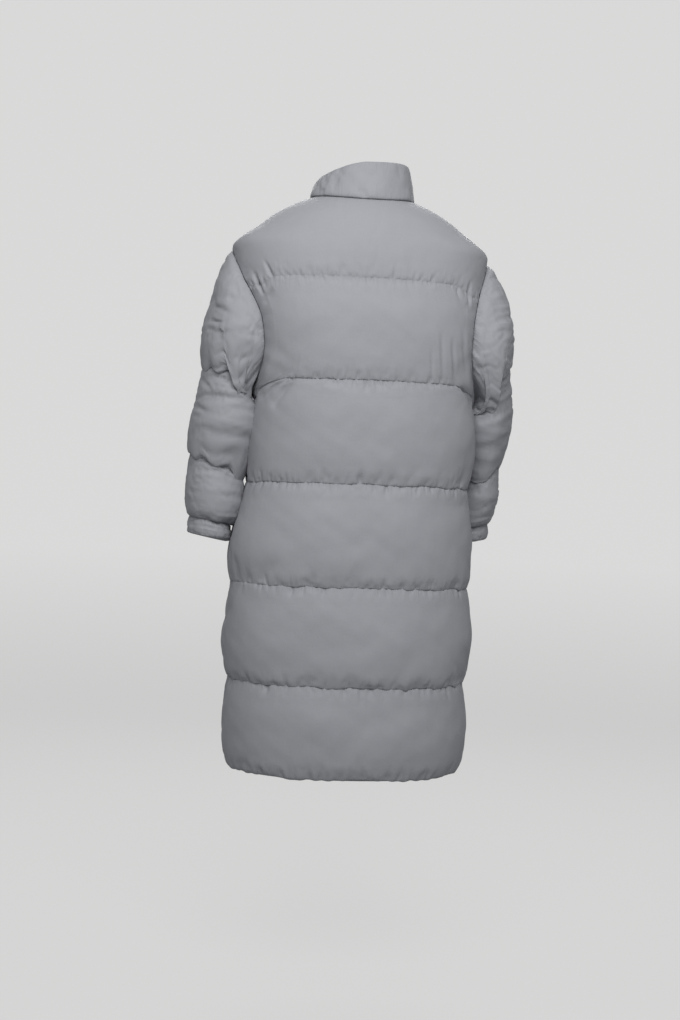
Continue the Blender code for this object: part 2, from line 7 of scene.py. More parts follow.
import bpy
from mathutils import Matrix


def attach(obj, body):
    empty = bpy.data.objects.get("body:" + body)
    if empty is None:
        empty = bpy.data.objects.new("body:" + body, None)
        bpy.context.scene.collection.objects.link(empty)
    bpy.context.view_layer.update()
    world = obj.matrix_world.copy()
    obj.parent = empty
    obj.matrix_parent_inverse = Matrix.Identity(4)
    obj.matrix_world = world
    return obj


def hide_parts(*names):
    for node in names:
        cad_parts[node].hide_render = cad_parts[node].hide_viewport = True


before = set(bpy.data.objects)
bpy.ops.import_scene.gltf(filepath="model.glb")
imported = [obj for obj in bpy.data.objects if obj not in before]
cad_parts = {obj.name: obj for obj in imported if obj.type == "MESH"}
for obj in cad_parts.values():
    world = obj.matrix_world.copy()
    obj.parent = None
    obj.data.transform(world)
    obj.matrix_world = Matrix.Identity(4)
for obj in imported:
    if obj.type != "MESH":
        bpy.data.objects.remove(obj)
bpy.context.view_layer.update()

import logging
import math
from dataclasses import dataclass, field, replace
from enum import Enum
from typing import Any, Callable, NamedTuple

import bpy
import numpy as np
from bpy.types import ID, Material, Mesh, NodeSocket, Object
from mathutils import Matrix, Vector

Array = np.ndarray
Floats = tuple[float, ...]
Pair = tuple[float, float]
Colour = tuple[float, float, float]
Form = Callable[[Array, Array], Array]  # points at angles and levels
Choice = Callable[[Vector, Vector], bool]  # whether a face is wanted, from its centre and its normal
Part = tuple[Array, list[list[int]]]  # points and faces
LOG = logging.getLogger("coat")

MM = 0.001
GAP = 0.3 * MM  # between two pieces that are sewn together
SEAM_WALL = 5.0 * MM  # the wall where it is stitched flat
FAR = 1.0  # stands for any distance past the reach of puckers and seams
FLOOR = -1.56  # height of the studio's floor


# ------------------------------------------------------------------ the form that the seams lie on


def table(kind: type, *rows: Floats) -> tuple:
    """The rows as tuples of a kind."""
    return tuple(kind(*row) for row in rows)


class BodySection(NamedTuple):
    """One level ring of the body's seam-level form."""

    z_side: float
    z_back: float
    z_front: float
    half_width: float
    back_depth: float
    front_depth: float
    squareness: float  # 2 is an ellipse, more is squarer


BODY_SECTIONS = table(
    BodySection,
    (0.066, 0.053, 0.000, 0.108, 0.098, 0.106, 2.00),  # neckline
    (0.046, 0.036, -0.018, 0.147, 0.113, 0.112, 2.00),
    (0.020, 0.012, -0.040, 0.188, 0.128, 0.118, 2.05),
    (-0.010, -0.018, -0.064, 0.225, 0.140, 0.126, 2.10),
    (-0.045, -0.050, -0.090, 0.266, 0.149, 0.134, 2.20),  # sleeve head
    (-0.116, -0.116, -0.132, 0.261, 0.160, 0.146, 2.40),  # yoke seam
    (-0.200, -0.200, -0.204, 0.247, 0.167, 0.156, 2.50),
    (-0.320, -0.320, -0.320, 0.230, 0.169, 0.163, 2.50),
    (-0.430, -0.430, -0.430, 0.225, 0.169, 0.166, 2.45),
    (-0.527, -0.527, -0.527, 0.228, 0.169, 0.168, 2.40),
    (-0.640, -0.640, -0.640, 0.237, 0.173, 0.170, 2.35),
    (-0.731, -0.731, -0.731, 0.244, 0.177, 0.172, 2.30),
    (-0.927, -0.927, -0.927, 0.242, 0.186, 0.178, 2.25),
    (-1.113, -1.113, -1.108, 0.238, 0.188, 0.180, 2.20),  # hem
)


class PanelEdge(NamedTuple):
    """Where the back and the fronts end at one level, in degrees from the wearer's side, back positive."""

    z_side: float
    back_edge: float
    front_edge: float


PANEL_EDGES = table(
    PanelEdge,
    (0.066, -20.0, -20.0),  # shoulder seam, forward of the shoulder
    (0.020, -13.0, -13.0),
    (-0.045, -8.0, -8.0),  # top of the armhole
    (-0.060, 4.0, -16.0),
    (-0.084, 14.0, -23.0),
    (-0.116, 22.0, -29.0),
    (-0.157, 29.0, -33.0),
    (-0.200, 32.0, -35.0),
    (-0.243, 31.0, -34.0),
    (-0.283, 26.0, -29.0),
    (-0.320, 15.0, -17.0),
    (-0.340, 0.0, 0.0),  # armpit, and the side seam below it
    (-1.113, 0.0, 0.0),
)
ARMHOLE_TOP = -0.045
ARMHOLE_PIT = -0.340
BODY_SEAMS = (-0.066, 0.116, 0.320, 0.527, 0.731, 0.927, 1.113)  # depths of neckline, seams and hem


class SleeveSection(NamedTuple):
    """One oval ring of a sleeve, from its outermost point to the point nearest the body."""

    run: float  # along the outside of the sleeve, from the armhole
    x_out: float
    z_out: float
    x_in: float
    z_in: float
    y_mid: float
    half_depth: float


LEFT_SECTIONS = table(
    SleeveSection,
    (0.000, 0.267, -0.047, 0.226, -0.340, 0.000, 0.104),
    (0.048, 0.285, -0.090, 0.241, -0.352, 0.000, 0.099),
    (0.120, 0.297, -0.160, 0.242, -0.362, -0.002, 0.092),
    (0.187, 0.312, -0.225, 0.243, -0.371, -0.005, 0.086),
    (0.247, 0.318, -0.283, 0.243, -0.381, -0.008, 0.080),  # first seam
    (0.335, 0.323, -0.370, 0.243, -0.430, -0.012, 0.074),
    (0.445, 0.337, -0.478, 0.246, -0.512, -0.020, 0.068),  # second seam
    (0.515, 0.335, -0.550, 0.250, -0.566, -0.026, 0.064),
    (0.570, 0.335, -0.603, 0.254, -0.617, -0.030, 0.061),  # cuff stitch
    (0.606, 0.336, -0.639, 0.257, -0.654, -0.032, 0.060),
)
RIGHT_SECTIONS = table(
    SleeveSection,
    (0.000, 0.267, -0.047, 0.226, -0.340, 0.000, 0.104),
    (0.048, 0.293, -0.090, 0.241, -0.350, -0.001, 0.099),
    (0.120, 0.311, -0.155, 0.242, -0.356, -0.007, 0.092),
    (0.187, 0.322, -0.218, 0.243, -0.360, -0.015, 0.085),
    (0.247, 0.328, -0.282, 0.243, -0.366, -0.024, 0.079),  # first seam
    (0.335, 0.330, -0.370, 0.243, -0.422, -0.045, 0.073),
    (0.445, 0.324, -0.482, 0.240, -0.508, -0.076, 0.067),  # second seam
    (0.515, 0.319, -0.545, 0.239, -0.560, -0.094, 0.062),
    (0.570, 0.312, -0.597, 0.238, -0.609, -0.108, 0.059),  # cuff stitch
    (0.606, 0.310, -0.632, 0.237, -0.644, -0.117, 0.058),
)
SLEEVE_SEAMS = (0.0, 0.247, 0.445, 0.570, 0.606)  # runs of armhole, seams, cuff stitch and cuff end


class CollarSection(NamedTuple):
    """One ring of the stand collar, at a share of its height."""

    share: float
    z_side: float
    z_back: float
    z_front: float
    half_width: float
    back_depth: float
    front_depth: float


COLLAR_SECTIONS = table(
    CollarSection,
    (0.0, 0.066, 0.053, 0.000, 0.108, 0.098, 0.106),
    (0.5, 0.099, 0.092, 0.050, 0.099, 0.094, 0.101),
    (1.0, 0.128, 0.131, 0.100, 0.091, 0.089, 0.094),
)


def unit(vectors: Array) -> Array:
    """The vectors at length 1."""
    return vectors / np.maximum(np.linalg.norm(vectors, axis=-1, keepdims=True), 1e-12)


def smooth(value: Array) -> Array:
    """An even rise from 0 at 0 to 1 at 1, level at both ends."""
    value = np.clip(value, 0, 1)
    return value * value * (3 - 2 * value)


def run_length(points: Array, axis: int = 0) -> Array:
    """The distance along lines of points, from 0 at the first point of each.

    Args:
        points: Grid of points, with coordinates last.
        axis: The axis that the lines run along, not the last.

    Returns:
        The distance at every point.
    """
    steps = np.linalg.norm(np.diff(points, axis=axis), axis=-1)
    start = np.zeros_like(np.take(steps, [0], axis=axis))
    return np.concatenate([start, np.cumsum(steps, axis=axis)], axis=axis)


def through(rows: Any, at: Array) -> Array:
    """Every column after the first, on smooth curves with no overshoot.

    Args:
        rows: Table whose first column is the key.
        at: Key values to read the other columns at.

    Returns:
        The other columns, last axis, at each key value.
    """
    table = np.array(rows, float)
    table = table[np.argsort(table[:, 0])]
    keys, columns = table[:, 0], table[:, 1:]
    rises = np.diff(columns, axis=0) / np.diff(keys)[:, None]
    before, after = rises[:-1], rises[1:]
    even = 2 * before * after / np.where(before + after == 0, 1, before + after)
    slopes = np.vstack([rises[:1], np.where(before * after > 0, even, 0), rises[-1:]])
    at = np.clip(np.asarray(at, float), keys[0], keys[-1])
    i = np.clip(np.searchsorted(keys, at) - 1, 0, len(keys) - 2)
    width = (keys[i + 1] - keys[i])[..., None]
    t = (at - keys[i])[..., None] / width
    return (
        columns[i] * (1 + 2 * t) * (1 - t) ** 2
        + columns[i + 1] * t**2 * (3 - 2 * t)
        + slopes[i] * width * t * (1 - t) ** 2
        - slopes[i + 1] * width * t**2 * (1 - t)
    )


def along_line(at: Array, along: Array, line: Array) -> Array:
    """Reads a line's points, or other threes of values along it, at distances from its start."""
    return np.stack([np.interp(at, along, line[:, k]) for k in range(3)], axis=-1)


def quads(index: Array, turned: bool = False) -> list[list[int]]:
    """The faces of a grid.

    Args:
        index: The numbers of its points.
        turned: Whether the faces look the other way.

    Returns:
        The four point numbers of every face.
    """
    corners = [index[:-1, :-1], index[1:, :-1], index[1:, 1:], index[:-1, 1:]]
    if turned:
        corners = [corners[0], *corners[:0:-1]]
    return np.stack(corners, -1).reshape(-1, 4).tolist()


def graded(start: float, end: float, finest: float, widest: float, reach: float) -> Array:
    """Places from start to end, in an even number of steps that are shorter near both ends.

    Args:
        start: First place.
        end: Last place.
        finest: Step at the ends.
        widest: Step in the middle.
        reach: Distance from an end at which the step is at its widest.

    Returns:
        The places, start and end among them.
    """
    along = np.linspace(0, end - start, 600)
    nearer = np.minimum(along, along[-1] - along)
    step = finest + (widest - finest) * np.clip(nearer / reach, 0, 1)
    count = np.concatenate([[0], np.cumsum(np.diff(along) / (step[1:] + step[:-1]) * 2)])
    steps = 2 * max(1, round(count[-1] / 2))
    return start + np.interp(np.linspace(0, count[-1], steps + 1), count, along)


SWAY = 15 * MM  # the coat is pushed this far to the wearer's right between the arms
SWAY_LEVELS = (
    (-0.68, 0.0),
    (-0.56, 0.45),
    (-0.44, 1.0),
    (-0.36, 1.0),
    (-0.22, 0.8),
    (-0.12, 0.0),
)  # levels, and the share of the sway at each
SWAY_OUT, SWAY_IN = 0.33, 0.24  # how far aside it starts, and is full
SWAY_FRONT, SWAY_BACK = -0.15, -0.05  # how far back it starts, and is full


def swayed(points: Array) -> Array:
    """The points, pushed to the wearer's right between the arms and left alone at the front and outside."""
    inside = smooth((SWAY_OUT - np.abs(points[..., 0])) / (SWAY_OUT - SWAY_IN))
    behind = smooth((points[..., 1] - SWAY_FRONT) / (SWAY_BACK - SWAY_FRONT))
    push = SWAY * through(SWAY_LEVELS, points[..., 2])[..., 0] * inside * behind
    return points - push[..., None] * np.array([1.0, 0.0, 0.0])


class Side(Enum):
    """The wearer's left and right, as the sign of x."""

    LEFT = 1
    RIGHT = -1


class Panel(Enum):
    """The cut pieces of the body."""

    BACK = "back"
    FRONT_LEFT = "front_left"
    FRONT_RIGHT = "front_right"


@dataclass(frozen=True)
class CoatForm:
    """The seam-level form of the whole coat, with the lines that its pieces are cut along."""

    zip_half_slot: float = 7.0 * MM  # from the centre line to the edge of each front
    armhole_blend: float = 0.10  # a sleeve leaves the armhole's own curve over this run
    collar_lean: float = 21 * MM  # its top is this much lower at the wearer's left side
    lean_narrow: float = 1.4  # above 1, the lean is mostly there
    collar_lift: float = 12 * MM  # its top stands this much higher at the wearer's right side
    dense: int = 260

    @staticmethod
    def oval(angle: Array, columns: Array, squareness: Array) -> Array:
        """The point of a ring at an angle from the wearer's left side, where 90 degrees is the back.

        Args:
            angle: Angles in radians.
            columns: z_side, z_back, z_front, half_width, back_depth, front_depth, last axis.
            squareness: 2 is an ellipse, more is squarer.

        Returns:
            The points.
        """
        z_side, z_back, z_front, half_width, back_depth, front_depth = np.moveaxis(columns, -1, 0)
        across, along = np.cos(angle), np.sin(angle)
        behind = along >= 0
        power = 2 / squareness
        x = half_width * np.sign(across) * np.abs(across) ** power
        y = np.where(behind, back_depth, front_depth) * np.sign(along) * np.abs(along) ** power
        z = z_side + (np.where(behind, z_back, z_front) - z_side) * along**2
        return np.stack([x, y, z], axis=-1)

    def body(self, angle: Array, level: Array) -> Array:
        """The body's form at angles and side levels.

        Args:
            angle: Angles in radians.
            level: Height of the ring at the wearer's side.

        Returns:
            The points.
        """
        angle, level = np.broadcast_arrays(np.asarray(angle, float), np.asarray(level, float))
        columns = through([(s[0], *s) for s in BODY_SECTIONS], level)
        return self.oval(angle, columns[..., :6], columns[..., 6])

    def collar(self, angle: Array, share: Array) -> Array:
        """The collar's form at angles and shares of its height.

        Args:
            angle: Angles in radians.
            share: 0 at the neckline, 1 at the top.

        Returns:
            The points.
        """
        angle, share = np.broadcast_arrays(np.asarray(angle, float), np.asarray(share, float))
        points = self.oval(angle, through(COLLAR_SECTIONS, share), np.array(2.0))
        points[..., 2] -= self.collar_lean * share * np.clip(np.cos(angle), 0, 1) ** self.lean_narrow
        points[..., 2] += self.collar_lift * share**2 * np.clip(-np.cos(angle), 0, 1) ** self.lean_narrow
        return points

    @staticmethod
    def normals(form: Form, angle: Array, level: Array) -> Array:
        """Outward normals of a form whose level rises with height.

        Args:
            form: The body's or the collar's form.
            angle: Angles in radians.
            level: Levels or shares.

        Returns:
            The normals, length 1.
        """
        step = 1e-4
        around = form(angle + step, level) - form(angle - step, level)
        upward = form(angle, level + step) - form(angle, level - step)
        return unit(np.cross(around, upward))

    @staticmethod
    def panel_edges(level: Array) -> tuple[Array, Array]:
        """The angles at which the back and the fronts end, curved round the armhole and straight above it.

        Args:
            level: Side levels.

        Returns:
            The back's edge and the fronts' edge, in radians.
        """
        level = np.asarray(level, float)
        table = np.array(sorted(PANEL_EDGES))
        straight = np.stack([np.interp(level, table[:, 0], column) for column in table[:, 1:].T], -1)
        curved = through(table[table[:, 0] <= ARMHOLE_TOP], level)
        edges = np.radians(np.where((level > ARMHOLE_TOP)[..., None], straight, curved))
        return edges[..., 0], edges[..., 1]

    def centre_angle(self, form: Form, level: float) -> float:
        """The angle, short of the centre front, at which a front's edge leaves room for the zip.

        Args:
            form: The body's or the collar's form.
            level: One level or share.

        Returns:
            The angle in radians.
        """
        angles = np.radians(np.linspace(-90, -60, 400))
        return float(np.interp(self.zip_half_slot, form(angles, level)[:, 0], angles))

    def spread(
        self, form: Form, start: float, end: float, level: float, shares: Array
    ) -> tuple[Array, Array]:
        """Angles at even shares of the way from start to end at one level.

        Args:
            form: The body's or the collar's form.
            start: First angle.
            end: Last angle.
            level: The level or share of height.
            shares: Shares of the way, 0 to 1.

        Returns:
            The angles, and their distances from start.
        """
        angles = np.linspace(start, end, self.dense)
        along = run_length(form(angles, level))
        at = GAP / 2 + shares * (along[-1] - GAP)
        return np.interp(at, along, angles), at

    def armhole(self, steps: int = 60) -> tuple[Array, Array]:
        """The left armhole, from the armpit up the front over its top and down the back to the armpit.

        Args:
            steps: Steps along each of its two sides.

        Returns:
            Its seam-level points and the form's normals there.
        """
        levels = ARMHOLE_PIT + (ARMHOLE_TOP - ARMHOLE_PIT) * smooth(np.linspace(0, 1, steps + 1))
        back, front = self.panel_edges(levels)
        angle = np.concatenate([front, back[-2::-1]])
        level = np.concatenate([levels, levels[-2::-1]])
        return self.body(angle, level), self.normals(self.body, angle, level)

    def armhole_distance(self, points: Array) -> Array:
        """How far each point of a grid is from the nearer armhole."""
        ring = self.armhole(24)[0]
        left_side = points * np.where(points[..., :1] < 0, [-1, 1, 1], [1, 1, 1])
        return np.linalg.norm(left_side[..., None, :] - ring, axis=-1).min(axis=-1)

    def front_line(self) -> tuple[Array, Array]:
        """Points up the centre front from the hem to the collar's top, and their distances from the hem."""
        body = self.body(-math.pi / 2, np.linspace(BODY_SECTIONS[-1].z_side, BODY_SECTIONS[0].z_side, 200))
        line = np.vstack([body, self.collar(-math.pi / 2, np.linspace(0, 1, 40))[1:]])
        return line, run_length(line)

    def zip_line(self, at: Array) -> tuple[Array, Array]:
        """Points on the tapes' middle plane.

        Args:
            at: Distances up the centre front from the hem.

        Returns:
            The points, and the outward direction at each.
        """
        line, along = self.front_line()
        points = along_line(at, along, line)
        tangent = unit(np.gradient(points, axis=0))
        outward = np.stack([tangent[:, 0], -tangent[:, 2], tangent[:, 1]], axis=1)
        return points - outward * SEAM_WALL / 2, outward

    def zip_place(self, below_top: float) -> Matrix:
        """The frame of a hard zip piece: x across, -y away from the coat and z up along the chain."""
        at = self.front_line()[1][-1] - below_top
        points, outward = self.zip_line(at + np.array([-2, 0, 2]) * MM)
        out, across = Vector(outward[1]), Vector((1, 0, 0))
        turn = Matrix((across, -out, across.cross(-out))).transposed().to_4x4()
        return Matrix.Translation(Vector(points[1])) @ turn


# ------------------------------------------------------------------ uneven cloth


@dataclass(frozen=True)
class Ripple:
    """A smooth uneven rise and fall of the cloth."""

    height: float
    shortest: float
    longest: float
    heading: float = 0.0  # radians from straight across to the way that the waves run
    spread: float = math.pi / 2  # how far either side of it they may run
    waves: int = 18

    def over(self, across: Array, down: Array, random: np.random.Generator) -> Array:
        """The rise at each point.

        Args:
            across: Metres across the piece.
            down: Metres down the piece.
            random: Seeded source of the waves.

        Returns:
            The rise, about the height where it is greatest.
        """
        total = np.zeros(across.shape)
        for _ in range(self.waves):
            turn = self.heading + random.uniform(-self.spread, self.spread)
            pace = math.tau / random.uniform(self.shortest, self.longest)
            phase = random.uniform(0, math.tau)
            along = across * math.cos(turn) + down * math.sin(turn)
            total += np.cos(along * pace + phase)
        return self.height * total * math.sqrt(0.5 / self.waves)


@dataclass(frozen=True)
class Crumple:
    """Thin troughs that wander over the cloth and come and go."""

    depth: float
    shortest: float
    longest: float
    narrowness: float  # share of a wave that a trough takes up
    heading: float = math.pi / 2  # as a ripple's: these troughs lie across the piece
    spread: float = 0.5

    def over(self, across: Array, down: Array, random: np.random.Generator) -> Array:
        """The rise at each point, mostly below 0.

        Args:
            across: Metres across the piece.
            down: Metres down the piece.
            random: Seeded source of the troughs.

        Returns:
            The rise.
        """
        waves = Ripple(1.0, self.shortest, self.longest, self.heading, self.spread, 9)
        lines = waves.over(across, down, random)
        patches = Ripple(1.0, self.longest, self.longest * 2.5, waves=7).over(across, down, random)
        trough = np.exp(-((lines / self.narrowness) ** 2))
        return -self.depth * trough * smooth(0.5 + patches) + self.depth * 0.3 * np.tanh(lines)


@dataclass(frozen=True)
class Fold:
    """One trough between two soft ridges, placed as seen from behind."""

    x0: float
    z0: float
    x1: float
    z1: float
    depth: float  # this and the next two in millimetres
    width: float
    bow: float = 0.0  # how far its middle lies to one side
    ridge: float = 0.7  # above 0, the cloth rises beside the trough
    bluntness: float = 0.7  # below 1, it keeps its depth closer to its ends

    def over(self, points: Array, normals: Array) -> Array:
        """The rise at each point.

        Args:
            points: Points of the form.
            normals: Outward normals there.

        Returns:
            The rise, below 0 in the trough.
        """
        start, end = np.array([self.x0, self.z0]), np.array([self.x1, self.z1])
        length = np.linalg.norm(end - start)
        along = (end - start) / length
        off = points[..., [0, 2]] - start
        share = off @ along / length
        aside = off @ np.array([-along[1], along[0]]) - self.bow * MM * 4 * share * (1 - share)
        taper = np.sin(np.pi * np.clip(share, 0, 1)) ** self.bluntness
        t = (aside / (self.width * MM)) ** 2
        facing = smooth(normals[..., 1] * 3 + 0.2)  # 0 on the cloth that faces forwards
        return -self.depth * MM * (1 - self.ridge * t) * np.exp(-t) * taper * facing


@dataclass(frozen=True)
class Puckers:
    """Short troughs that run out of a seam, each of its own place, length and depth."""

    spacing: Pair
    width: Pair
    depth: Pair
    length: Pair
    slant: float = 0.22  # metres aside for each metre out, either way at most

    def over(self, along: Array, distance: Array, random: np.random.Generator) -> Array:
        """The rise at each point beside one seam.

        Args:
            along: Metres along the seam.
            distance: Metres from the seam, over the cloth.
            random: Seeded source of the troughs.

        Returns:
            The rise, 0 on the seam and past the longest trough.
        """
        rise = np.zeros(along.shape)
        near = distance < self.length[1]
        place, out = along[near], distance[near]
        total = np.zeros(place.shape)
        at, end = float(along.min()), float(along.max())
        while at < end:
            at += random.uniform(*self.spacing)
            share = random.uniform(0, 1) ** 1.6
            length = self.length[0] + (self.length[1] - self.length[0]) * share
            depth = random.uniform(*self.depth) * (0.5 + 0.7 * share)
            width = random.uniform(*self.width) * (0.8 + 0.6 * share)
            slant = random.uniform(-self.slant, self.slant)
            reach = np.clip(out / length, 0, 1)
            aside = (place - at - slant * out) / (width * (0.75 + 0.9 * reach))
            total -= depth * np.sqrt(reach) * (1 - reach) ** 1.5 / 0.325 * np.exp(-(aside**2))
        rise[near] = total + np.mean(self.depth) * 0.25 * np.sqrt(np.clip(out / 0.006, 0, 1))
        return rise


UNEVEN_FILL = Ripple(0.13, 0.11, 0.34)  # how the swell varies along a channel
UNEVEN_SAG = Ripple(0.45, 0.03, 0.12)  # how the sag varies along a seam


# ------------------------------------------------------------------ meshes


def stand(name: str, data: ID) -> Object:
    """Puts a mesh or a camera into the scene as a new object."""
    obj = bpy.data.objects.new(name, data)
    bpy.context.scene.collection.objects.link(obj)
    return obj


def write_metres(mesh: Mesh, flat: Array) -> None:
    """Writes the cloth's own metres across and down, one pair for each point, onto a mesh.

    Args:
        mesh: The mesh.
        flat: The pairs.
    """
    corners = np.zeros(len(mesh.loops), np.int32)
    mesh.loops.foreach_get("vertex_index", corners)
    lines = mesh.uv_layers.new(name="cloth")
    lines.data.foreach_set("uv", flat[corners].ravel().astype(np.float32))


# ------------------------------------------------------------------ padded pieces


@dataclass
class Surface:
    """A seam-level grid over one piece, rows down and columns across, and what is known at its points."""

    points: Array
    normals: Array
    across: Array  # metres across, 0 at the piece's middle line
    down: Array  # metres down the piece, reaching 0 at its lower edge, which is level
    channel: Array  # 0 at a channel's upper seam, 1 at its lower seam
    number: Array  # which channel, counted from the top
    above: Array  # metres to the seam above
    below: Array  # metres to the seam below
    side: Array  # metres to the nearer sewn side edge
    border: Array  # metres to the nearest edge of the piece
    press: Array  # share of the swell that is left where cloth is pressed


@dataclass(frozen=True)
class Fineness:
    """How finely a piece's outer side is divided."""

    row_finest: float = 1.1 * MM
    row_widest: float = 6.2 * MM
    row_reach: float = 30 * MM
    column_finest: float = 0.8 * MM
    column_widest: float = 2.9 * MM
    column_reach: float = 10 * MM


FINE = Fineness()
FINE_SLEEVE = Fineness(row_widest=4.4 * MM)
FINE_COLLAR = Fineness(row_widest=3.6 * MM, row_reach=15 * MM)
COARSE = Fineness(6 * MM, 9 * MM, 20 * MM, 6 * MM, 8.5 * MM, 20 * MM)


@dataclass
class PaddedCloth:
    """One cut piece of padded cloth, sewn along seams between which it swells."""

    name: str
    form: CoatForm
    seed: int
    swell_out: float
    swell_in: float
    fill: float = 0.75
    hang: Floats = (0.84,)  # below 1, a channel's fullest line hangs below its middle
    fullness: Floats = (0.56,)  # below 1, a channel is plumper than a sine arch
    side_reach: Floats = (30 * MM,)  # a channel reaches its full swell this far from a sewn side
    side_roundness: Floats = (1.0,)  # 1 rises steeply from a sewn side, 0 softly
    rolled_edge: float = 2.2 * MM  # radius that the cloth turns in with at every edge
    sag: Floats = (3.0 * MM,)  # how far each channel hangs over its lower seam
    sag_reach: float = 6 * MM
    sag_fade: float = 60 * MM
    settle_limit: float = 7 * MM
    pressure: float = 2.4
    spare_cloth: float = 0.035  # how much larger the cloth is cut than the form it fills
    calm: Floats = (1.0,)  # share of the settling that each channel keeps
    seam_wander: float = 1.3 * MM  # about how far each seam wanders up and down
    hem_wander: float = 0.0  # the same for its lower edge
    wander_reach: float = 45 * MM  # the cloth follows a wandering seam this far
    wander_fade: float = 20 * MM  # the wander fades out this close to a sewn side
    crumple_fade: Pair = (12 * MM, 10 * MM)  # crumples fade this close to an edge and a seam
    fold_fade: float = 8 * MM  # folds fade this close to an edge
    side_fade: float = 4 * MM  # and all detail this close to a sewn side
    gathered_top: bool = True  # the cloth puckers at its top edge too
    frames: int = 20
    mesh: Fineness = FINE
    ripples: tuple[Ripple, ...] = (
        Ripple(1.8 * MM, 0.085, 0.26),
        Ripple(0.7 * MM, 0.030, 0.070),
    )
    crumples: tuple[Crumple, ...] = ()
    puckers: Puckers = Puckers((0.006, 0.017), (0.0018, 0.0036), (0.0009, 0.0034), (0.007, 0.032), 0.28)
    side_puckers: Puckers = Puckers((0.012, 0.034), (0.003, 0.006), (0.0004, 0.0016), (0.010, 0.036))
    folds: tuple[Fold, ...] = ()
    fold_gain: float = 1.6  # every listed fold's depth is multiplied by this
    channel_fill: Floats = (1.0,)  # share of the full swell of each channel
    grid: Surface | None = field(default=None, init=False)  # kept once the piece is built
    outer: Array | None = field(default=None, init=False)

    def seams(self) -> Floats:
        """Places of the top edge, the seams and the bottom edge, increasing down the piece."""
        raise NotImplementedError

    def lay_out(self, rows: Array, shares: Array) -> tuple[Array, Array, Array, Array]:
        """Seam-level points, normals, metres to the nearer side edge, and share of swell left by pressing."""
        raise NotImplementedError

    def surface(self, mesh: Fineness) -> Surface:
        """Lays the seam-level grid.

        Args:
            mesh: How finely it is divided.

        Returns:
            The grid, whose seams and edges are rows and columns of it.
        """
        seams = self.seams()
        spans = [
            graded(start, end, mesh.row_finest, mesh.row_widest, mesh.row_reach)
            for start, end in zip(seams[:-1], seams[1:])
        ]
        rows = np.concatenate([spans[0], *(span[1:] for span in spans[1:])])
        width = self.width()
        shares = graded(0, width, mesh.column_finest, mesh.column_widest, mesh.column_reach) / width
        points, normals, side, press = self.lay_out(rows, shares)
        down = run_length(points)
        along = run_length(points, axis=1)
        seam_rows = np.array([int(np.argmin(np.abs(rows - seam))) for seam in seams])
        number = np.searchsorted(seam_rows, np.arange(len(rows)), side="right") - 1
        number = np.clip(number, 0, len(seams) - 2)
        upper, lower = np.array(seams)[number], np.array(seams)[number + 1]
        channel = np.repeat(((rows - upper) / (lower - upper))[:, None], len(shares), axis=1)
        return Surface(
            points,
            normals,
            along - along[:, -1:] / 2,
            down - down[-1:],
            channel,
            np.repeat(number[:, None], len(shares), axis=1),
            down - down[seam_rows[number]],
            down[seam_rows[number + 1]] - down,
            side,
            np.minimum(side, np.minimum(down, down[-1] - down)),
            press,
        )

    def width(self) -> float:
        """About how wide the piece is where it is widest."""
        raise NotImplementedError

    def swell(self, grid: Surface) -> Array:
        """Share of the full swell at each point, with channels of uneven fullness.

        Args:
            grid: The seam-level grid.

        Returns:
            The share, 0 on every seam and edge.
        """
        random = np.random.default_rng(self.seed)
        arch = np.sin(np.pi * np.clip(grid.channel, 0, 1) ** (1 / self.each(self.hang, grid))).clip(0)
        arch = arch ** self.each(self.fullness, grid)
        t = np.clip(grid.side / self.each(self.side_reach, grid), 0, 1)
        roundness = self.each(self.side_roundness, grid)
        beside = roundness * np.sqrt(t * (2 - t)) + (1 - roundness) * smooth(t)
        uneven = 1 + UNEVEN_FILL.over(grid.across, grid.down * 1.4, random)
        return arch * beside * grid.press * self.each(self.channel_fill, grid) * uneven

    @staticmethod
    def each(values: Floats, grid: Surface) -> Array:
        """Reads a value for every point's channel, the last one for all channels past the end."""
        return np.array(values)[np.minimum(grid.number, len(values) - 1)]

    def puffed(self, grid: Surface) -> Array:
        """The outer side with its swell, sag and broad ripples, before the cloth settles.

        Args:
            grid: The seam-level grid.

        Returns:
            The points.
        """
        random = np.random.default_rng(self.seed + 1)
        share = self.swell(grid)
        out = self.swell_out * share
        for ripple in self.ripples:
            out = out + ripple.over(grid.across, grid.down, random) * np.clip(share * 1.3, 0, 1)
        downward = unit(np.gradient(grid.points, axis=0))
        t = np.clip(grid.below / self.sag_reach, 0, 1)
        uneven = 1 + UNEVEN_SAG.over(grid.across, grid.down * 0, random)
        fade = smooth(1 - (grid.below - self.sag_reach) / self.sag_fade)
        edge = smooth(grid.side / self.each(self.side_reach, grid)) * (grid.number < grid.number.max())
        sag = self.each(self.sag, grid) * np.sqrt(t * (2 - t)) * fade * uneven * edge * grid.press
        wave = self.seam_wave(grid, random)
        return grid.points + grid.normals * out[..., None] + downward * (sag + wave)[..., None]

    def seam_wave(self, grid: Surface, random: np.random.Generator) -> Array:
        """How far each seam wanders up and down along its length.

        Args:
            grid: The seam-level grid.
            random: Seeded source of the waves.

        Returns:
            The movement down the piece, 0 along its top and sides.
        """
        total = np.zeros(grid.down.shape)
        last = len(self.seams()) - 1
        for seam in range(1, last + 1):
            height = self.hem_wander if seam == last else self.seam_wander
            wander = Ripple(height, 0.020, 0.15, waves=24)
            wave = wander.over(grid.across, grid.across * 0 + seam * 0.37, random)
            from_above = np.where(grid.number == seam - 1, grid.below, FAR)
            distance = np.where(grid.number == seam, grid.above, from_above)
            total += wave * (1 - smooth(distance / self.wander_reach))
        return total * smooth(grid.side / self.wander_fade)

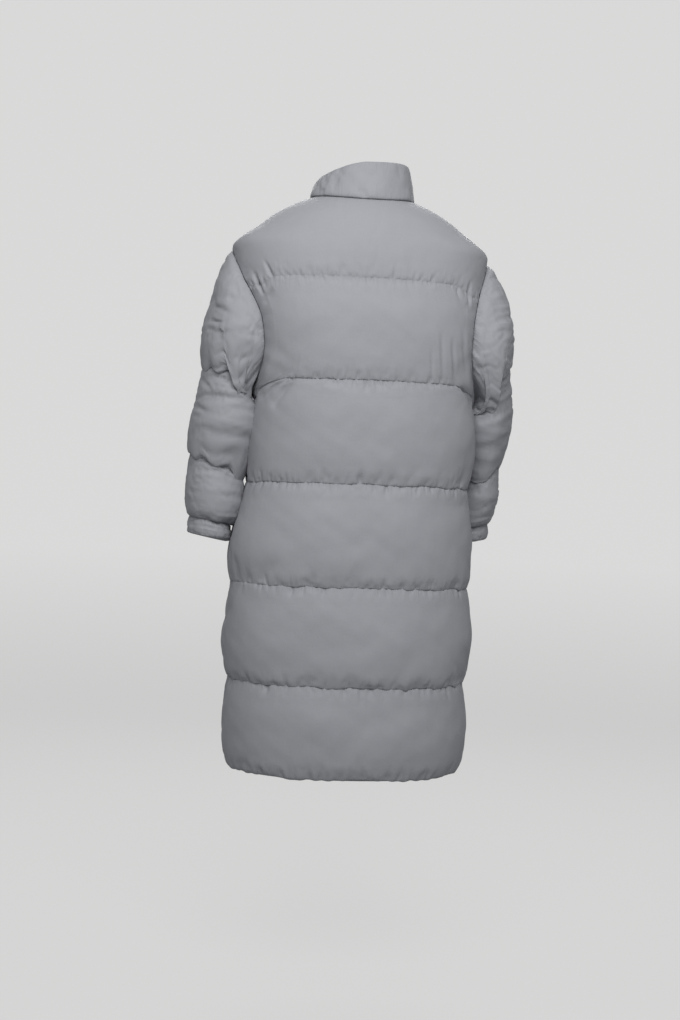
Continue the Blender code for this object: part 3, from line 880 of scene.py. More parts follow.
    def settle(self, grid: Surface, start: Array) -> Array:
        """Lets the outer cloth fill and wrinkle between its seams.

        Args:
            grid: The coarse grid.
            start: Its puffed points.

        Returns:
            How far each point moves, 0 on every seam and edge.
        """
        rows, columns = start.shape[:2]
        index = np.arange(rows * columns).reshape(rows, columns)
        mesh = bpy.data.meshes.new(f"{self.name}_settling")
        mesh.from_pydata(start.reshape(-1, 3).tolist(), [], quads(index))
        obj = stand(mesh.name, mesh)
        sewn = (np.minimum(grid.above, grid.below) < 0.1 * MM) | (grid.side < GAP)
        sewn[0], sewn[-1] = True, True
        obj.vertex_groups.new(name="sewn").add(index[sewn].tolist(), 1.0, "REPLACE")
        cloth = obj.modifiers.new("Cloth", "CLOTH")
        cloth.settings.quality = 5
        cloth.settings.mass = 0.15
        cloth.settings.tension_stiffness = 14
        cloth.settings.compression_stiffness = 14
        cloth.settings.shear_stiffness = 5
        cloth.settings.bending_stiffness = 0.08
        cloth.settings.use_pressure = True
        cloth.settings.uniform_pressure_force = self.pressure
        cloth.settings.shrink_min = -self.spare_cloth
        cloth.settings.vertex_group_mass = "sewn"
        cloth.settings.effector_weights.gravity = 0
        for step in range(1, self.frames + 1):
            bpy.context.scene.frame_set(step)
        settled = obj.evaluated_get(bpy.context.evaluated_depsgraph_get())
        moved = np.zeros(rows * columns * 3, np.float32)
        settled.data.vertices.foreach_get("co", moved)
        bpy.context.scene.frame_set(1)
        bpy.data.objects.remove(obj)
        move = moved.reshape(start.shape).astype(float) - start
        far = np.maximum(np.linalg.norm(move, axis=-1, keepdims=True), 1e-9)
        share = (grid.press * self.each(self.calm, grid))[..., None]
        return move * self.settle_limit * np.tanh(far / self.settle_limit) / far * share

    def settled(self, grid: Surface) -> Array:
        """The movement of the settled cloth, read off at a finer grid's points.

        Args:
            grid: The fine grid.

        Returns:
            The movement at every point of it.
        """
        coarse = self.surface(COARSE)
        move = self.settle(coarse, self.puffed(coarse))
        rows, columns = move.shape[:2]
        coarse_rows, coarse_columns = self.parameters(coarse)
        fine_rows, fine_columns = self.parameters(grid)
        by_row = through(np.column_stack([coarse_rows, move.reshape(rows, -1)]), fine_rows)
        by_row = by_row.reshape(-1, columns, 3).swapaxes(0, 1)
        by_column = through(np.column_stack([coarse_columns, by_row.reshape(columns, -1)]), fine_columns)
        return by_column.reshape(-1, len(fine_rows), 3).swapaxes(0, 1)

    @staticmethod
    def parameters(grid: Surface) -> tuple[Array, Array]:
        """Rows and columns of a grid, as channel numbers with shares and as shares of the width."""
        share = (grid.across[0] - grid.across[0, 0]) / (grid.across[0, -1] - grid.across[0, 0])
        return grid.number[:, 0] + grid.channel[:, 0], share

    def detail(self, grid: Surface) -> Array:
        """Puckers, folds and crumpling, which lie on the settled cloth.

        Args:
            grid: The fine grid.

        Returns:
            The rise at each point.
        """
        random = np.random.default_rng(self.seed + 2)
        rise = np.zeros(grid.down.shape)
        for number in range(len(self.seams()) - 1):
            here = grid.number == number
            gathered = (grid.above, grid.below) if number or self.gathered_top else (grid.below,)
            for distance in gathered:
                rise += self.puckers.over(grid.across, np.where(here, distance, FAR), random)
        for half in (-1, 1):
            side = np.where(np.sign(grid.across) == half, grid.side, FAR)
            rise += self.side_puckers.over(grid.down, side, random)
        edge_fade, seam_fade = self.crumple_fade
        fade = smooth(grid.border / edge_fade) * smooth(np.minimum(grid.above, grid.below) / seam_fade)
        for crumple in self.crumples:
            rise += crumple.over(grid.across, grid.down, random) * fade
        for fold in self.folds:
            trough = fold.over(grid.points, grid.normals)
            rise += trough * smooth(grid.border / self.fold_fade) * self.fold_gain
        beside = np.minimum(1, smooth(grid.side / self.side_fade) * 2)
        return rise * beside * (0.35 + 0.65 * grid.press)

    def sides(self) -> tuple[Surface, Array, Array]:
        """The fine grid with its finished outer and inner points."""
        grid = self.surface(self.mesh)
        outer = self.puffed(grid)
        outer = outer + self.settled(grid)
        outer = outer + grid.normals * self.detail(grid)[..., None]
        turn = np.clip(1 - grid.border / self.rolled_edge, 0, 1)
        roll = self.rolled_edge * (1 - np.sqrt(1 - turn**2))
        outer = outer - grid.normals * roll[..., None]
        inward = SEAM_WALL + self.swell_in * self.swell(grid) - roll
        inner = (grid.points - grid.normals * inward[..., None])[::2, ::2]
        return grid, swayed(outer), swayed(inner)

    def build(self, shell: Material, lining: Material) -> Object:
        """Builds the piece as one closed wall, its inner side divided half as finely.

        Args:
            shell: Finish of the outer side and the edges.
            lining: Finish of the inner side.

        Returns:
            The piece, declared to the frame.
        """
        grid, outer, inner = self.sides()
        self.grid, self.outer = grid, outer
        out = np.arange(outer[..., 0].size).reshape(outer.shape[:2])
        into = np.arange(inner[..., 0].size).reshape(inner.shape[:2]) + out.size
        faces = quads(out)
        shown = len(faces)
        faces += quads(into, turned=True)
        lined = len(faces)
        edges = (
            (out[0], into[0]),
            (out[-1, ::-1], into[-1, ::-1]),
            (out[::-1, 0], into[::-1, 0]),
            (out[:, -1], into[:, -1]),
        )
        for o, i in edges:
            faces += np.stack([o[:-1:2], o[1::2], o[2::2], i[1:], i[:-1]], -1).tolist()
        mesh = bpy.data.meshes.new(self.name)
        mesh.from_pydata(np.vstack([outer.reshape(-1, 3), inner.reshape(-1, 3)]).tolist(), [], faces)
        mesh.materials.append(shell)
        mesh.materials.append(lining)
        slots = np.zeros(len(faces), np.int32)
        slots[shown:lined] = 1
        mesh.polygons.foreach_set("material_index", slots)
        self.write_cloth_lines(mesh, grid)
        mesh.shade_smooth()
        obj = stand(f"{self.name}_cloth", mesh)
        return declare(obj, "coat", "shell", self.name)

    def write_cloth_lines(self, mesh: Mesh, grid: Surface) -> None:
        """Writes the cloth's own metres and its distance from the nearest seam onto the mesh.

        Args:
            mesh: The piece's mesh, outer points first.
            grid: The fine grid.
        """
        both = lambda values: np.concatenate([values.ravel(), values[::2, ::2].ravel()])
        write_metres(mesh, np.stack([both(grid.across), both(grid.down)], -1))
        nearest = np.minimum(grid.above, grid.below)
        free_top = (grid.number == 0) & (not self.gathered_top)
        distances = {
            "seam_distance": np.minimum(nearest, grid.border),
            "stitch_distance": np.where(free_top, grid.below, nearest),
        }
        for name, values in distances.items():
            layer = mesh.attributes.new(name, "FLOAT", "POINT")
            layer.data.foreach_set("value", both(values).astype(np.float32))


@dataclass
class BodyPanel(PaddedCloth):
    """The back or one of the fronts, from the neckline to the hem."""

    panel: Panel = Panel.BACK
    seam_drops: Floats = (0.0, 0.018, 0.036, 0.0, 0.0, 0.0, 0.0)  # how far seams dip at the sides
    drop_start: float = 0.095  # metres from the side edge at which a seam starts to dip
    drop_end: float = 0.030

    def seams(self) -> Floats:
        """Depths of the neckline, the seams and the hem."""
        return BODY_SEAMS

    def width(self) -> float:
        """About how wide the panel is where it is widest."""
        return 0.74 if self.panel is Panel.BACK else 0.37

    def span(self, level: float) -> Pair:
        """The angles that the panel runs between at a level."""
        back_edge, front_edge = (float(edge) for edge in self.form.panel_edges(np.array(level)))
        centre = self.form.centre_angle(self.form.body, level)
        return {
            Panel.BACK: (back_edge, math.pi - back_edge),
            Panel.FRONT_LEFT: (centre, front_edge),
            Panel.FRONT_RIGHT: (math.pi - front_edge, math.pi - centre),
        }[self.panel]

    def lay_out(self, rows: Array, shares: Array) -> tuple[Array, Array, Array, Array]:
        """Lays the panel out between its side edges, level by level.

        Args:
            rows: Depths of the rows.
            shares: Shares of the way across.

        Returns:
            Points, normals, metres to the nearer side edge, share of swell left.
        """
        spread = [self.form.spread(self.form.body, *self.span(-row), -row, shares) for row in rows]
        angles = np.array([angle for angle, _ in spread])
        at = np.array([at for _, at in spread])
        inward = at if self.panel is Panel.FRONT_RIGHT else at[:, -1:] + at[:, :1] - at
        inward = np.minimum(at, inward) if self.panel is Panel.BACK else inward
        dip = smooth((self.drop_start - inward) / (self.drop_start - self.drop_end))
        depths = rows[:, None] + np.interp(rows, BODY_SEAMS, self.seam_drops)[:, None] * dip
        angles = np.stack([np.interp(d, rows, a) for d, a in zip(depths.T, angles.T)], axis=1)
        at = np.stack([np.interp(d, rows, a) for d, a in zip(depths.T, at.T)], axis=1)
        levels = -depths
        points = self.form.body(angles, levels)
        normals = self.form.normals(self.form.body, angles, levels)
        side = np.minimum(at, at[:, -1:] + at[:, :1] - at)
        side = np.minimum(side, self.form.armhole_distance(points))
        return points, normals, side, np.ones(side.shape)


@dataclass
class Sleeve(PaddedCloth):
    """A sleeve, one cut piece whose long edges meet in the seam under the arm."""

    side: Side = Side.LEFT
    sections: tuple[SleeveSection, ...] = LEFT_SECTIONS
    seam_shifts: Floats = (0.0, 0.008, -0.010, 0.0, 0.0)  # how far down the arm each has slipped
    inner_press: float = 2.5  # share of the swell on the side nearest the body, which fills the space there
    head_reach: float = 0.04  # the swell rises over this run below the armhole
    head_run: float = 0.048  # rows above this run keep level with the armhole
    pit_run: float = 0.055  # the first seam climbs to this run at the armpit
    pit_climb: float = 1.6  # above 1, it climbs mostly near the armpit

    def seams(self) -> Floats:
        """Runs of the armhole, the seams, the cuff stitch and the cuff's end."""
        return SLEEVE_SEAMS

    def width(self) -> float:
        """About how far it is round the sleeve."""
        return 0.60

    def lay_out(self, rows: Array, shares: Array) -> tuple[Array, Array, Array, Array]:
        """Lays the sleeve out round its ovals, from the seam under the arm over the front to it again.

        Args:
            rows: Runs of the rows.
            shares: Shares of the way round.

        Returns:
            Points, normals, metres to the seam under the arm, share of swell left.
        """
        ring, ring_normals = self.form.armhole()
        inward = ring.mean(axis=0) - ring
        inward -= ring_normals * np.sum(inward * ring_normals, axis=1, keepdims=True)
        ring = ring + unit(inward) * GAP
        along = run_length(ring)
        top = along[len(ring) // 2]
        angle = np.pi * (2 * shares - 1)
        at = np.where(shares < 0.5, 2 * shares * top, top + (2 * shares - 1) * (along[-1] - top))
        at = np.clip(at, GAP / 2, along[-1] - GAP / 2)
        start = along_line(at, along, ring)
        outward = (1 + np.cos(angle)) / 2
        seam, next_seam = SLEEVE_SEAMS[1:3]
        highest = seam + self.seam_shifts[1] - self.pit_run
        climb = np.interp(rows, (self.head_run, seam, next_seam), (0, highest, 0))
        slipped = rows + np.interp(rows, SLEEVE_SEAMS, self.seam_shifts)
        runs = slipped[:, None] - climb[:, None] * (1 - outward) ** self.pit_climb
        x_out, z_out, x_in, z_in, y_mid, half_depth = np.moveaxis(through(self.sections, runs), -1, 0)
        x, z = x_in + (x_out - x_in) * outward, z_in + (z_out - z_in) * outward
        oval = np.stack([x, y_mid + half_depth * np.sin(angle), z], axis=-1)
        blend = smooth(runs / self.form.armhole_blend)[..., None]
        points = start * (1 - blend) + oval * blend
        points = points if self.side is Side.LEFT else (points * [-1, 1, 1])[:, ::-1]
        normals = unit(np.cross(np.gradient(points, axis=0), np.gradient(points, axis=1)))
        girth = run_length(points, axis=1)
        side = np.minimum(girth, girth[:, -1:] - girth)
        below_head = np.sqrt(np.clip(runs / self.head_reach, 0, 1))
        press = (self.inner_press + (1 - self.inner_press) * outward) * below_head
        press = press if self.side is Side.LEFT else press[:, ::-1]
        return points, normals, side, press


@dataclass
class Collar(PaddedCloth):
    """The stand collar, one channel round the neck."""

    foot: float = 0.997  # share of the height at its lower edge, which leaves a gap at the neckline
    height: float = 0.08  # about how high it stands

    def seams(self) -> Floats:
        """Shares of the height below its top, at its top edge and at the neckline."""
        return (0.0, self.foot)

    def width(self) -> float:
        """About how long the collar is."""
        return 0.62

    def surface(self, mesh: Fineness) -> Surface:
        """Lays the grid with steps in metres, though its rows are shares of the height."""
        rows = ("row_finest", "row_widest", "row_reach")
        shares = {name: getattr(mesh, name) / self.height for name in rows}
        return super().surface(replace(mesh, **shares))

    def lay_out(self, rows: Array, shares: Array) -> tuple[Array, Array, Array, Array]:
        """Lays the collar out from its left front edge round the back to its right front edge.

        Args:
            rows: Shares of the height below its top.
            shares: Shares of the way round.

        Returns:
            Points, normals, metres to the nearer front edge, share of swell left.
        """
        heights = 1 - rows
        starts = [self.form.centre_angle(self.form.collar, height) for height in heights]
        spread = [
            self.form.spread(self.form.collar, start, math.pi - start, height, shares)
            for start, height in zip(starts, heights)
        ]
        angles = np.array([angle for angle, _ in spread])
        at = np.array([at for _, at in spread])
        levels = np.repeat(heights[:, None], len(shares), axis=1)
        points = self.form.collar(angles, levels)
        normals = self.form.normals(self.form.collar, angles, levels)
        return points, normals, np.minimum(at, at[:, -1:] + at[:, :1] - at), np.ones(levels.shape)


# ------------------------------------------------------------------ shader maths


@dataclass(frozen=True)
class Term:
    """A number or vector that a shader works out, which takes part in Python sums."""

    graph: "Graph"
    socket: NodeSocket

    def _join(self, operation: str, first: Any, second: Any) -> "Term":
        """Adds one Math node."""
        return self.graph.node("Math", [first, second], operation=operation)

    def __add__(self, other: Any) -> "Term":
        """This plus another."""
        return self._join("ADD", self, other)

    def __radd__(self, other: Any) -> "Term":
        """Another plus this."""
        return self._join("ADD", other, self)

    def __sub__(self, other: Any) -> "Term":
        """This less another."""
        return self._join("SUBTRACT", self, other)

    def __rsub__(self, other: Any) -> "Term":
        """Another less this."""
        return self._join("SUBTRACT", other, self)

    def __mul__(self, other: Any) -> "Term":
        """This times another."""
        return self._join("MULTIPLY", self, other)

    def __truediv__(self, other: Any) -> "Term":
        """This divided by another."""
        return self._join("DIVIDE", self, other)

    def sine(self) -> "Term":
        """The sine of this."""
        return self.graph.node("Math", [self], operation="SINE")

    def clipped(self) -> "Term":
        """This, held between 0 and 1."""
        return self.graph.node("Clamp", [self])


class Graph:
    """One material's nodes, with its Principled shader at hand."""

    def __init__(self, name: str, **fixed: Any) -> None:
        """Starts a material.

        Args:
            name: The material's name.
            **fixed: Values for the shader's own sockets, with _ for a space.
        """
        self.material = bpy.data.materials.new(name)
        self.material.use_nodes = True
        self.tree = self.material.node_tree
        self.shader = self.tree.nodes["Principled BSDF"]
        for socket, value in fixed.items():
            self.shader.inputs[socket.replace("_", " ").title()].default_value = value

    def node(self, kind: str, inputs: Any = (), output: int | str = 0, **settings: Any) -> Term:
        """Adds a node, sets it and feeds it.

        Args:
            kind: The node's type without ShaderNode.
            inputs: Values or terms for its sockets, in order or by name.
            output: The socket that the term reads.
            **settings: The node's own settings, and stops, a list of places and values for a ramp.

        Returns:
            The term at the output.
        """
        node = self.tree.nodes.new(f"ShaderNode{kind}")
        stops = settings.pop("stops", ())
        for name, value in settings.items():
            setattr(node, name, value)
        for place, value in stops:
            stop = node.color_ramp.elements.new(place)
            stop.color = (value, value, value, 1)
        if stops:
            node.color_ramp.elements.remove(node.color_ramp.elements[0])
            node.color_ramp.elements.remove(node.color_ramp.elements[-1])
        pairs = inputs.items() if isinstance(inputs, dict) else enumerate(inputs)
        for name, value in pairs:
            if isinstance(value, Term):
                self.tree.links.new(value.socket, node.inputs[name])
            else:
                node.inputs[name].default_value = value
        return Term(self, node.outputs[output])

    def feed(self, socket: str, term: Term) -> None:
        """Links a term to one of the shader's sockets."""
        self.tree.links.new(term.socket, self.shader.inputs[socket])

    def parts(self, vector: Term) -> tuple[Term, Term, Term]:
        """The x, y and z of a vector."""
        first = self.node("SeparateXYZ", [vector])
        return first, *(Term(self, first.socket.node.outputs[k]) for k in (1, 2))

    def cloth(self) -> tuple[Term, Term, Term]:
        """The cloth's own metres: both together, across and down."""
        both = self.node("UVMap", uv_map="cloth", output="UV")
        return both, *self.parts(both)[:2]

    def written(self, name: str) -> Term:
        """A distance that was written onto the mesh."""
        return self.node("Attribute", attribute_name=name, output="Fac")

    def weave(self, first: Term, second: Term, thread: float) -> Term:
        """Crossed threads that repeat after a thread's width both ways, from -1 to 1."""
        turns = math.tau / thread
        return (first * turns).sine() * (second * turns).sine()

    def vector(self, x: Any, y: Any, z: Any = 0.0) -> Term:
        """A vector of three terms or numbers."""
        return self.node("CombineXYZ", [x, y, z])

    def noise(self, vector: Term, scale: float, detail: float = 2.0, roughness: float = 0.5) -> Term:
        """Smooth noise from 0 to 1, scale waves a metre."""
        inputs = {"Vector": vector, "Scale": scale, "Detail": detail, "Roughness": roughness}
        return self.node("TexNoise", inputs)

    def tint(self, colour: Colour, amount: Term) -> Term:
        """A colour made lighter or darker by an amount, where 1 leaves it alone."""
        return self.node("VectorMath", [colour, self.vector(amount, amount, amount)], operation="MULTIPLY")

    def blend(self, factor: Term, first: Any, second: Any) -> Term:
        """A mix of two colours, given as terms or as red, green and blue."""
        colours = [c if isinstance(c, Term) else (*c, 1.0) for c in (first, second)]
        inputs = {"Factor": factor, 6: colours[0], 7: colours[1]}
        return self.node("Mix", inputs, output=2, data_type="RGBA")

    def bump(self, height: Term, distance: float, strength: float) -> None:
        """Raises the surface by a height from 0 to 1, times a distance in metres."""
        inputs = {"Height": height, "Distance": distance, "Strength": strength}
        self.feed("Normal", self.node("Bump", inputs))


@dataclass(frozen=True)
class ShellNylon:
    """Matt grey nylon, plainly woven, with fine crinkles and paler and darker patches."""

    colour: Colour = (0.325, 0.330, 0.354)
    roughness: float = 0.62
    thread: float = 0.75 * MM
    crinkle: float = 0.62 * MM
    seam_shadow: float = 0.014  # painted shade: it is a little darker this far from a seam
    gathers: Pair = (0.010, 0.044)  # shortest and longest run of the tucks at a stitch row
    sheen: float = 0.03

    def make(self) -> Material:
        """Makes the material, which reads the cloth's own metres and its distance from a seam."""
        g = Graph("shell_nylon", roughness=self.roughness, sheen_weight=self.sheen, sheen_roughness=0.45)
        g.shader.inputs["Specular IOR Level"].default_value = 0.32
        cloth, across, down = g.cloth()
        seam = g.written("seam_distance")
        beside_seam = 1 - (seam / self.seam_shadow).clipped()
        patches = g.noise(cloth, 7.0, 3.0, 0.55)
        streaks = g.noise(g.vector(across * 14.0, down * 620.0), 1.0, 2.0, 0.6)
        slubs = g.noise(g.vector(across * 760.0, down * 22.0), 1.0, 1.0, 0.5)
        mottle = g.noise(cloth, 95.0, 3.0, 0.6)
        shade = 0.925 + patches * 0.075 + streaks * 0.045 + slubs * 0.03 + mottle * 0.035
        # painted shade in the creases beside the seams, darkest at the seam
        shade = shade - beside_seam * beside_seam * 0.10
        g.feed("Base Color", g.tint(self.colour, shade))
        g.feed("Roughness", self.roughness - 0.05 + patches * 0.06 + mottle * 0.05 + beside_seam * 0.05)
        wander = g.noise(cloth, 38.0, 2.0, 0.5)
        warped = g.vector(across + wander * 0.006, down - wander * 0.006)
        cells = {"Vector": warped, "Scale": 62.0}
        crinkles = g.node("TexVoronoi", cells, feature="SMOOTH_F1", distance="EUCLIDEAN")
        fine = g.noise(warped, 240.0, 3.0, 0.62)
        broad = g.noise(g.vector(across, down * 0.55), 68.0, 2.0, 0.5)
        stitched = g.written("stitch_distance")
        reach = g.noise(g.vector(across * 55.0, down * 6.0), 1.0, 2.0, 0.6)
        shortest, longest = self.gathers
        gathered = 1 - (stitched / (shortest + reach * (longest - shortest))).clipped()
        tucks = g.noise(g.vector(across * 125.0, down * 9.0), 1.0, 2.0, 0.6)
        gathers = g.noise(g.vector(across * 330.0, down * 22.0), 1.0, 1.0, 0.6) * 1.4 + tucks * 4.2
        weave = g.weave(across, down, self.thread)
        height = crinkles * 0.45 + fine * 0.50 + broad * 0.85 + weave * 0.035 + gathers * gathered
        g.bump(height, self.crinkle, 0.85)
        return g.material


@dataclass(frozen=True)
class LiningNylon:
    """Smooth darker nylon of the coat's inner side."""

    colour: Colour = (0.16, 0.16, 0.17)
    thread: float = 0.5 * MM

    def make(self) -> Material:
        """Makes the material, which reads the cloth's own metres."""
        g = Graph("lining_nylon", roughness=0.5, sheen_weight=0.1, sheen_roughness=0.4)
        cloth, across, down = g.cloth()
        seam = g.written("seam_distance")
        patches = g.noise(cloth, 9.0, 3.0, 0.55)
        streaks = g.noise(g.vector(across * 500.0, down * 18.0), 1.0, 2.0, 0.5)
        # the last term darkens it within 10 mm of a seam: painted shade in the seams' creases
        shade = 0.9 + patches * 0.12 + streaks * 0.06 - (1 - (seam / 0.01).clipped()) * 0.12
        g.feed("Base Color", g.tint(self.colour, shade))
        g.feed("Roughness", 0.42 + patches * 0.12)
        ripples = g.noise(g.vector(across, down * 0.4), 110.0, 3.0, 0.55)
        weave = g.weave(across, down, self.thread)
        g.bump(ripples + weave * 0.03, 0.5 * MM, 0.8)
        return g.material


@dataclass(frozen=True)
class TapeWeave:
    """Ribbed woven tape of the zip."""

    colour: Colour = (0.17, 0.17, 0.18)
    rib: float = 0.9 * MM

    def make(self) -> Material:
        """Makes the material, whose ribs slant across the tape."""
        g = Graph("tape_weave", roughness=0.85, sheen_weight=0.3, sheen_roughness=0.5)
        cloth, across, down = g.cloth()
        ribs = g.weave(across + down, across - down, self.rib)
        worn = g.noise(cloth, 160.0, 3.0, 0.6)
        g.feed("Base Color", g.tint(self.colour, 0.88 + ribs * 0.10 + worn * 0.2))
        g.feed("Roughness", 0.78 + worn * 0.12)
        g.bump(ribs * 0.5 + worn * 0.4, 0.25 * MM, 0.9)
        return g.material


@dataclass(frozen=True)
class HardFinish:
    """A hard finish of the zip: dark plated metal or moulded plastic, rubbed a little."""

    name: str
    colour: Colour
    worn_colour: Colour
    roughness: float
    metallic: float
    brush: float = 900.0

    def make(self) -> Material:
        """Makes the material, which reads object coordinates."""
        g = Graph(self.name, roughness=self.roughness, metallic=self.metallic)
        place = g.node("TexCoord", output="Object")
        x, y, z = g.parts(place)
        brushed = g.noise(g.vector(x * self.brush, y * self.brush, z * 60.0), 1.0, 2.0, 0.55)
        rubbed = ((g.noise(place, 420.0, 4.0, 0.65) - 0.5) * 4.0).clipped()
        g.feed("Base Color", g.blend(rubbed * 0.6, self.colour, self.worn_colour))
        g.feed("Roughness", self.roughness - 0.08 + brushed * 0.14 + rubbed * 0.08)
        g.bump(brushed * 0.6 + g.noise(place, 1300.0, 2.0, 0.5) * 0.4, 0.03 * MM, 0.7)
        return g.material


@dataclass(frozen=True)
class TwistedThread:
    """Sewing thread, a little darker than the cloth."""

    colour: Colour = (0.21, 0.21, 0.225)
    twist: float = 0.7 * MM  # from one turn to the next

    def make(self) -> Material:
        """Makes the material, with the twist across each stitch."""
        g = Graph("sewing_thread", roughness=0.7, sheen_weight=0.25, sheen_roughness=0.4)
        place = g.node("TexCoord", output="Object")
        x, y, z = g.parts(place)
        twist = ((x + y + z) * (math.tau / self.twist)).sine()
        g.feed("Base Color", g.tint(self.colour, 0.95 + twist * 0.12 + g.noise(place, 90.0) * 0.1))
        g.feed("Roughness", 0.66 + twist * 0.05)
        g.bump(twist * 0.5 + 0.5, 0.1 * MM, 0.8)
        return g.material


@dataclass(frozen=True)
class BackdropPaper:
    """Plain pale backdrop paper, lit evenly all round by its own glow: painted light, dimmer on the floor
    than on the wall.
    """

    colour: Colour = (0.10, 0.10, 0.099)
    floor_glow: float = 0.555
    wall_glow: float = 0.655
    rise: float = 0.7  # the glow changes over this height

    def make(self) -> Material:
        """Makes the material, faintly uneven."""
        g = Graph("backdrop_paper", roughness=0.95, emission_strength=1.0)
        place = g.node("TexCoord", output="Object")
        g.feed("Base Color", g.tint(self.colour, 0.99 + g.noise(place, 0.6, 2.0) * 0.02))
        risen = ((g.parts(place)[2] - FLOOR) / self.rise).clipped()
        glow = self.floor_glow + risen * (self.wall_glow - self.floor_glow)
        g.feed("Emission Color", g.tint((1.0, 1.0, 0.995), glow))
        g.bump(g.noise(place, 300.0, 2.0), 0.1 * MM, 0.2)
        return g.material


# ------------------------------------------------------------------ modelling by hand


def declare(obj: Object, body: str, slot: str, *nodes: str) -> Object:
    """Hangs a new piece on the body that it rides on and hides the CAD nodes that it stands for."""
    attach(obj, body)
    if nodes:
        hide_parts(*nodes)
    return obj


class Workbench:
    """Blender's own modelling tools, used on one selected piece."""

    @staticmethod
    def only(obj: Object) -> None:
        """Selects one object and makes it active."""
        bpy.ops.object.select_all(action="DESELECT")
        obj.select_set(True)
        bpy.context.view_layer.objects.active = obj

    @classmethod
    def cube(cls, name: str, low: Floats, high: Floats) -> Object:
        """A box between two corners, with its place in its mesh.

        Args:
            name: The piece's name.
            low: Lowest corner, millimetres.
            high: Highest corner, millimetres.

        Returns:
            The box.
        """
        bpy.ops.object.select_all(action="DESELECT")
        low, high = Vector(low) * MM, Vector(high) * MM
        bpy.ops.mesh.primitive_cube_add(size=1, location=(low + high) / 2, scale=high - low)
        bpy.ops.object.transform_apply(location=True, rotation=True, scale=True)
        bpy.context.object.name = name
        return bpy.context.object

    @classmethod
    def pick_faces(cls, obj: Object, wanted: Choice) -> None:
        """Enters edit mode with only the wanted faces selected.

        Args:
            obj: The piece.
            wanted: Says from a face's centre, in millimetres, and its normal whether it is wanted.
        """
        cls.only(obj)
        bpy.ops.object.mode_set(mode="EDIT")
        bpy.ops.mesh.select_mode(type="FACE")
        bpy.ops.mesh.select_all(action="DESELECT")
        bpy.ops.object.mode_set(mode="OBJECT")
        for face in obj.data.polygons:
            face.select = wanted(face.center / MM, face.normal)
        bpy.ops.object.mode_set(mode="EDIT")

    @classmethod
    def shape(
        cls,
        obj: Object,
        wanted: Choice,
        inset: float = 0.0,
        extrude: Floats | None = None,
        resize: Floats | None = None,
    ) -> None:
        """Insets, extrudes and resizes some faces, in that order.

        Args:
            obj: The piece.
            wanted: Says which faces.
            inset: Width of the inset, millimetres.
            extrude: Movement of the extruded faces, millimetres.
            resize: Factors along x, y and z.
        """
        cls.pick_faces(obj, wanted)
        if inset:
            bpy.ops.mesh.inset(thickness=inset * MM, depth=0)
        if extrude:
            bpy.ops.mesh.extrude_region_move(TRANSFORM_OT_translate={"value": Vector(extrude) * MM})
        if resize:
            bpy.ops.transform.resize(value=resize)
        bpy.ops.object.mode_set(mode="OBJECT")

    @classmethod
    def rod(cls, name: str, centre: Floats, radius: float, length: float, axis: str, sides: int) -> Object:
        """A round bar with its place in its mesh.

        Args:
            name: The piece's name.
            centre: Its middle, millimetres.
            radius: Millimetres.
            length: Millimetres.
            axis: X or Y, along which it lies.
            sides: Sides round it.

        Returns:
            The bar.
        """
        bpy.ops.object.select_all(action="DESELECT")
        turn = {"X": (0, math.pi / 2, 0), "Y": (math.pi / 2, 0, 0)}[axis]
        bpy.ops.mesh.primitive_cylinder_add(
            vertices=sides, radius=radius * MM, depth=length * MM, location=Vector(centre) * MM, rotation=turn
        )
        bpy.ops.object.transform_apply(location=True, rotation=True, scale=True)
        bpy.context.object.name = name
        return bpy.context.object

    @staticmethod
    def taken(obj: Object) -> Part:
        """Removes a small piece and hands back its points, in metres, and its faces."""
        points = np.array([vertex.co[:] for vertex in obj.data.vertices])
        faces = [list(face.vertices) for face in obj.data.polygons]
        bpy.data.objects.remove(obj)
        return points, faces

    @staticmethod
    def row(
        name: str, part: Part, origins: Array, axes: tuple[Array, Array, Array], material: Material
    ) -> Object:
        """Repeats a small part at many places, as one joined piece.

        Args:
            name: The piece's name.
            part: The part's points, in its own axes, and its faces.
            origins: The places.
            axes: Where the part's x, y and z point at each place.
            material: The piece's finish.

        Returns:
            The piece.
        """
        points, faces = part
        row = origins[:, None]
        for k, axis in enumerate(axes):
            row = row + points[None, :, k : k + 1] * axis[:, None]
        turned = [[v + k * len(points) for v in face] for k in range(len(row)) for face in faces]
        mesh = bpy.data.meshes.new(name)
        mesh.from_pydata(row.reshape(-1, 3).tolist(), [], turned)
        mesh.materials.append(material)
        mesh.shade_smooth()
        return stand(name, mesh)

    @classmethod
    def combine(cls, first: Object, others: list[Object], operation: str) -> Object:
        """Unites pieces with the first, or cuts them out of it, and removes them.

        Args:
            first: The piece that stays.
            others: The pieces that are used up.
            operation: UNION or DIFFERENCE.

        Returns:
            The first piece.
        """
        for other in others:
            cls.only(first)
            boolean = first.modifiers.new("boolean", "BOOLEAN")
            boolean.operation, boolean.object = operation, other
            bpy.ops.object.modifier_apply(modifier="boolean")
            bpy.data.objects.remove(other)
        return first

    @classmethod
    def finish(cls, obj: Object, place: Matrix, bevel: float, material: Material) -> Object:
        """Rounds a piece's edges, moves its mesh to its place and gives it its finish.

        Args:
            obj: The piece, in its own axes at the origin.
            place: Its place on the coat.
            bevel: Radius of its edges, millimetres.
            material: Its finish.

        Returns:
            The piece.
        """
        cls.only(obj)
        rounding = obj.modifiers.new("rounding", "BEVEL")
        rounding.width = bevel * MM
        rounding.segments = 3
        rounding.limit_method = "ANGLE"
        rounding.angle_limit = math.radians(32)
        bpy.ops.object.modifier_apply(modifier="rounding")
        obj.data.transform(place)
        bpy.ops.object.shade_smooth_by_angle(angle=math.radians(40))
        obj.data.materials.clear()
        obj.data.materials.append(material)
        return obj


# ------------------------------------------------------------------ front zip


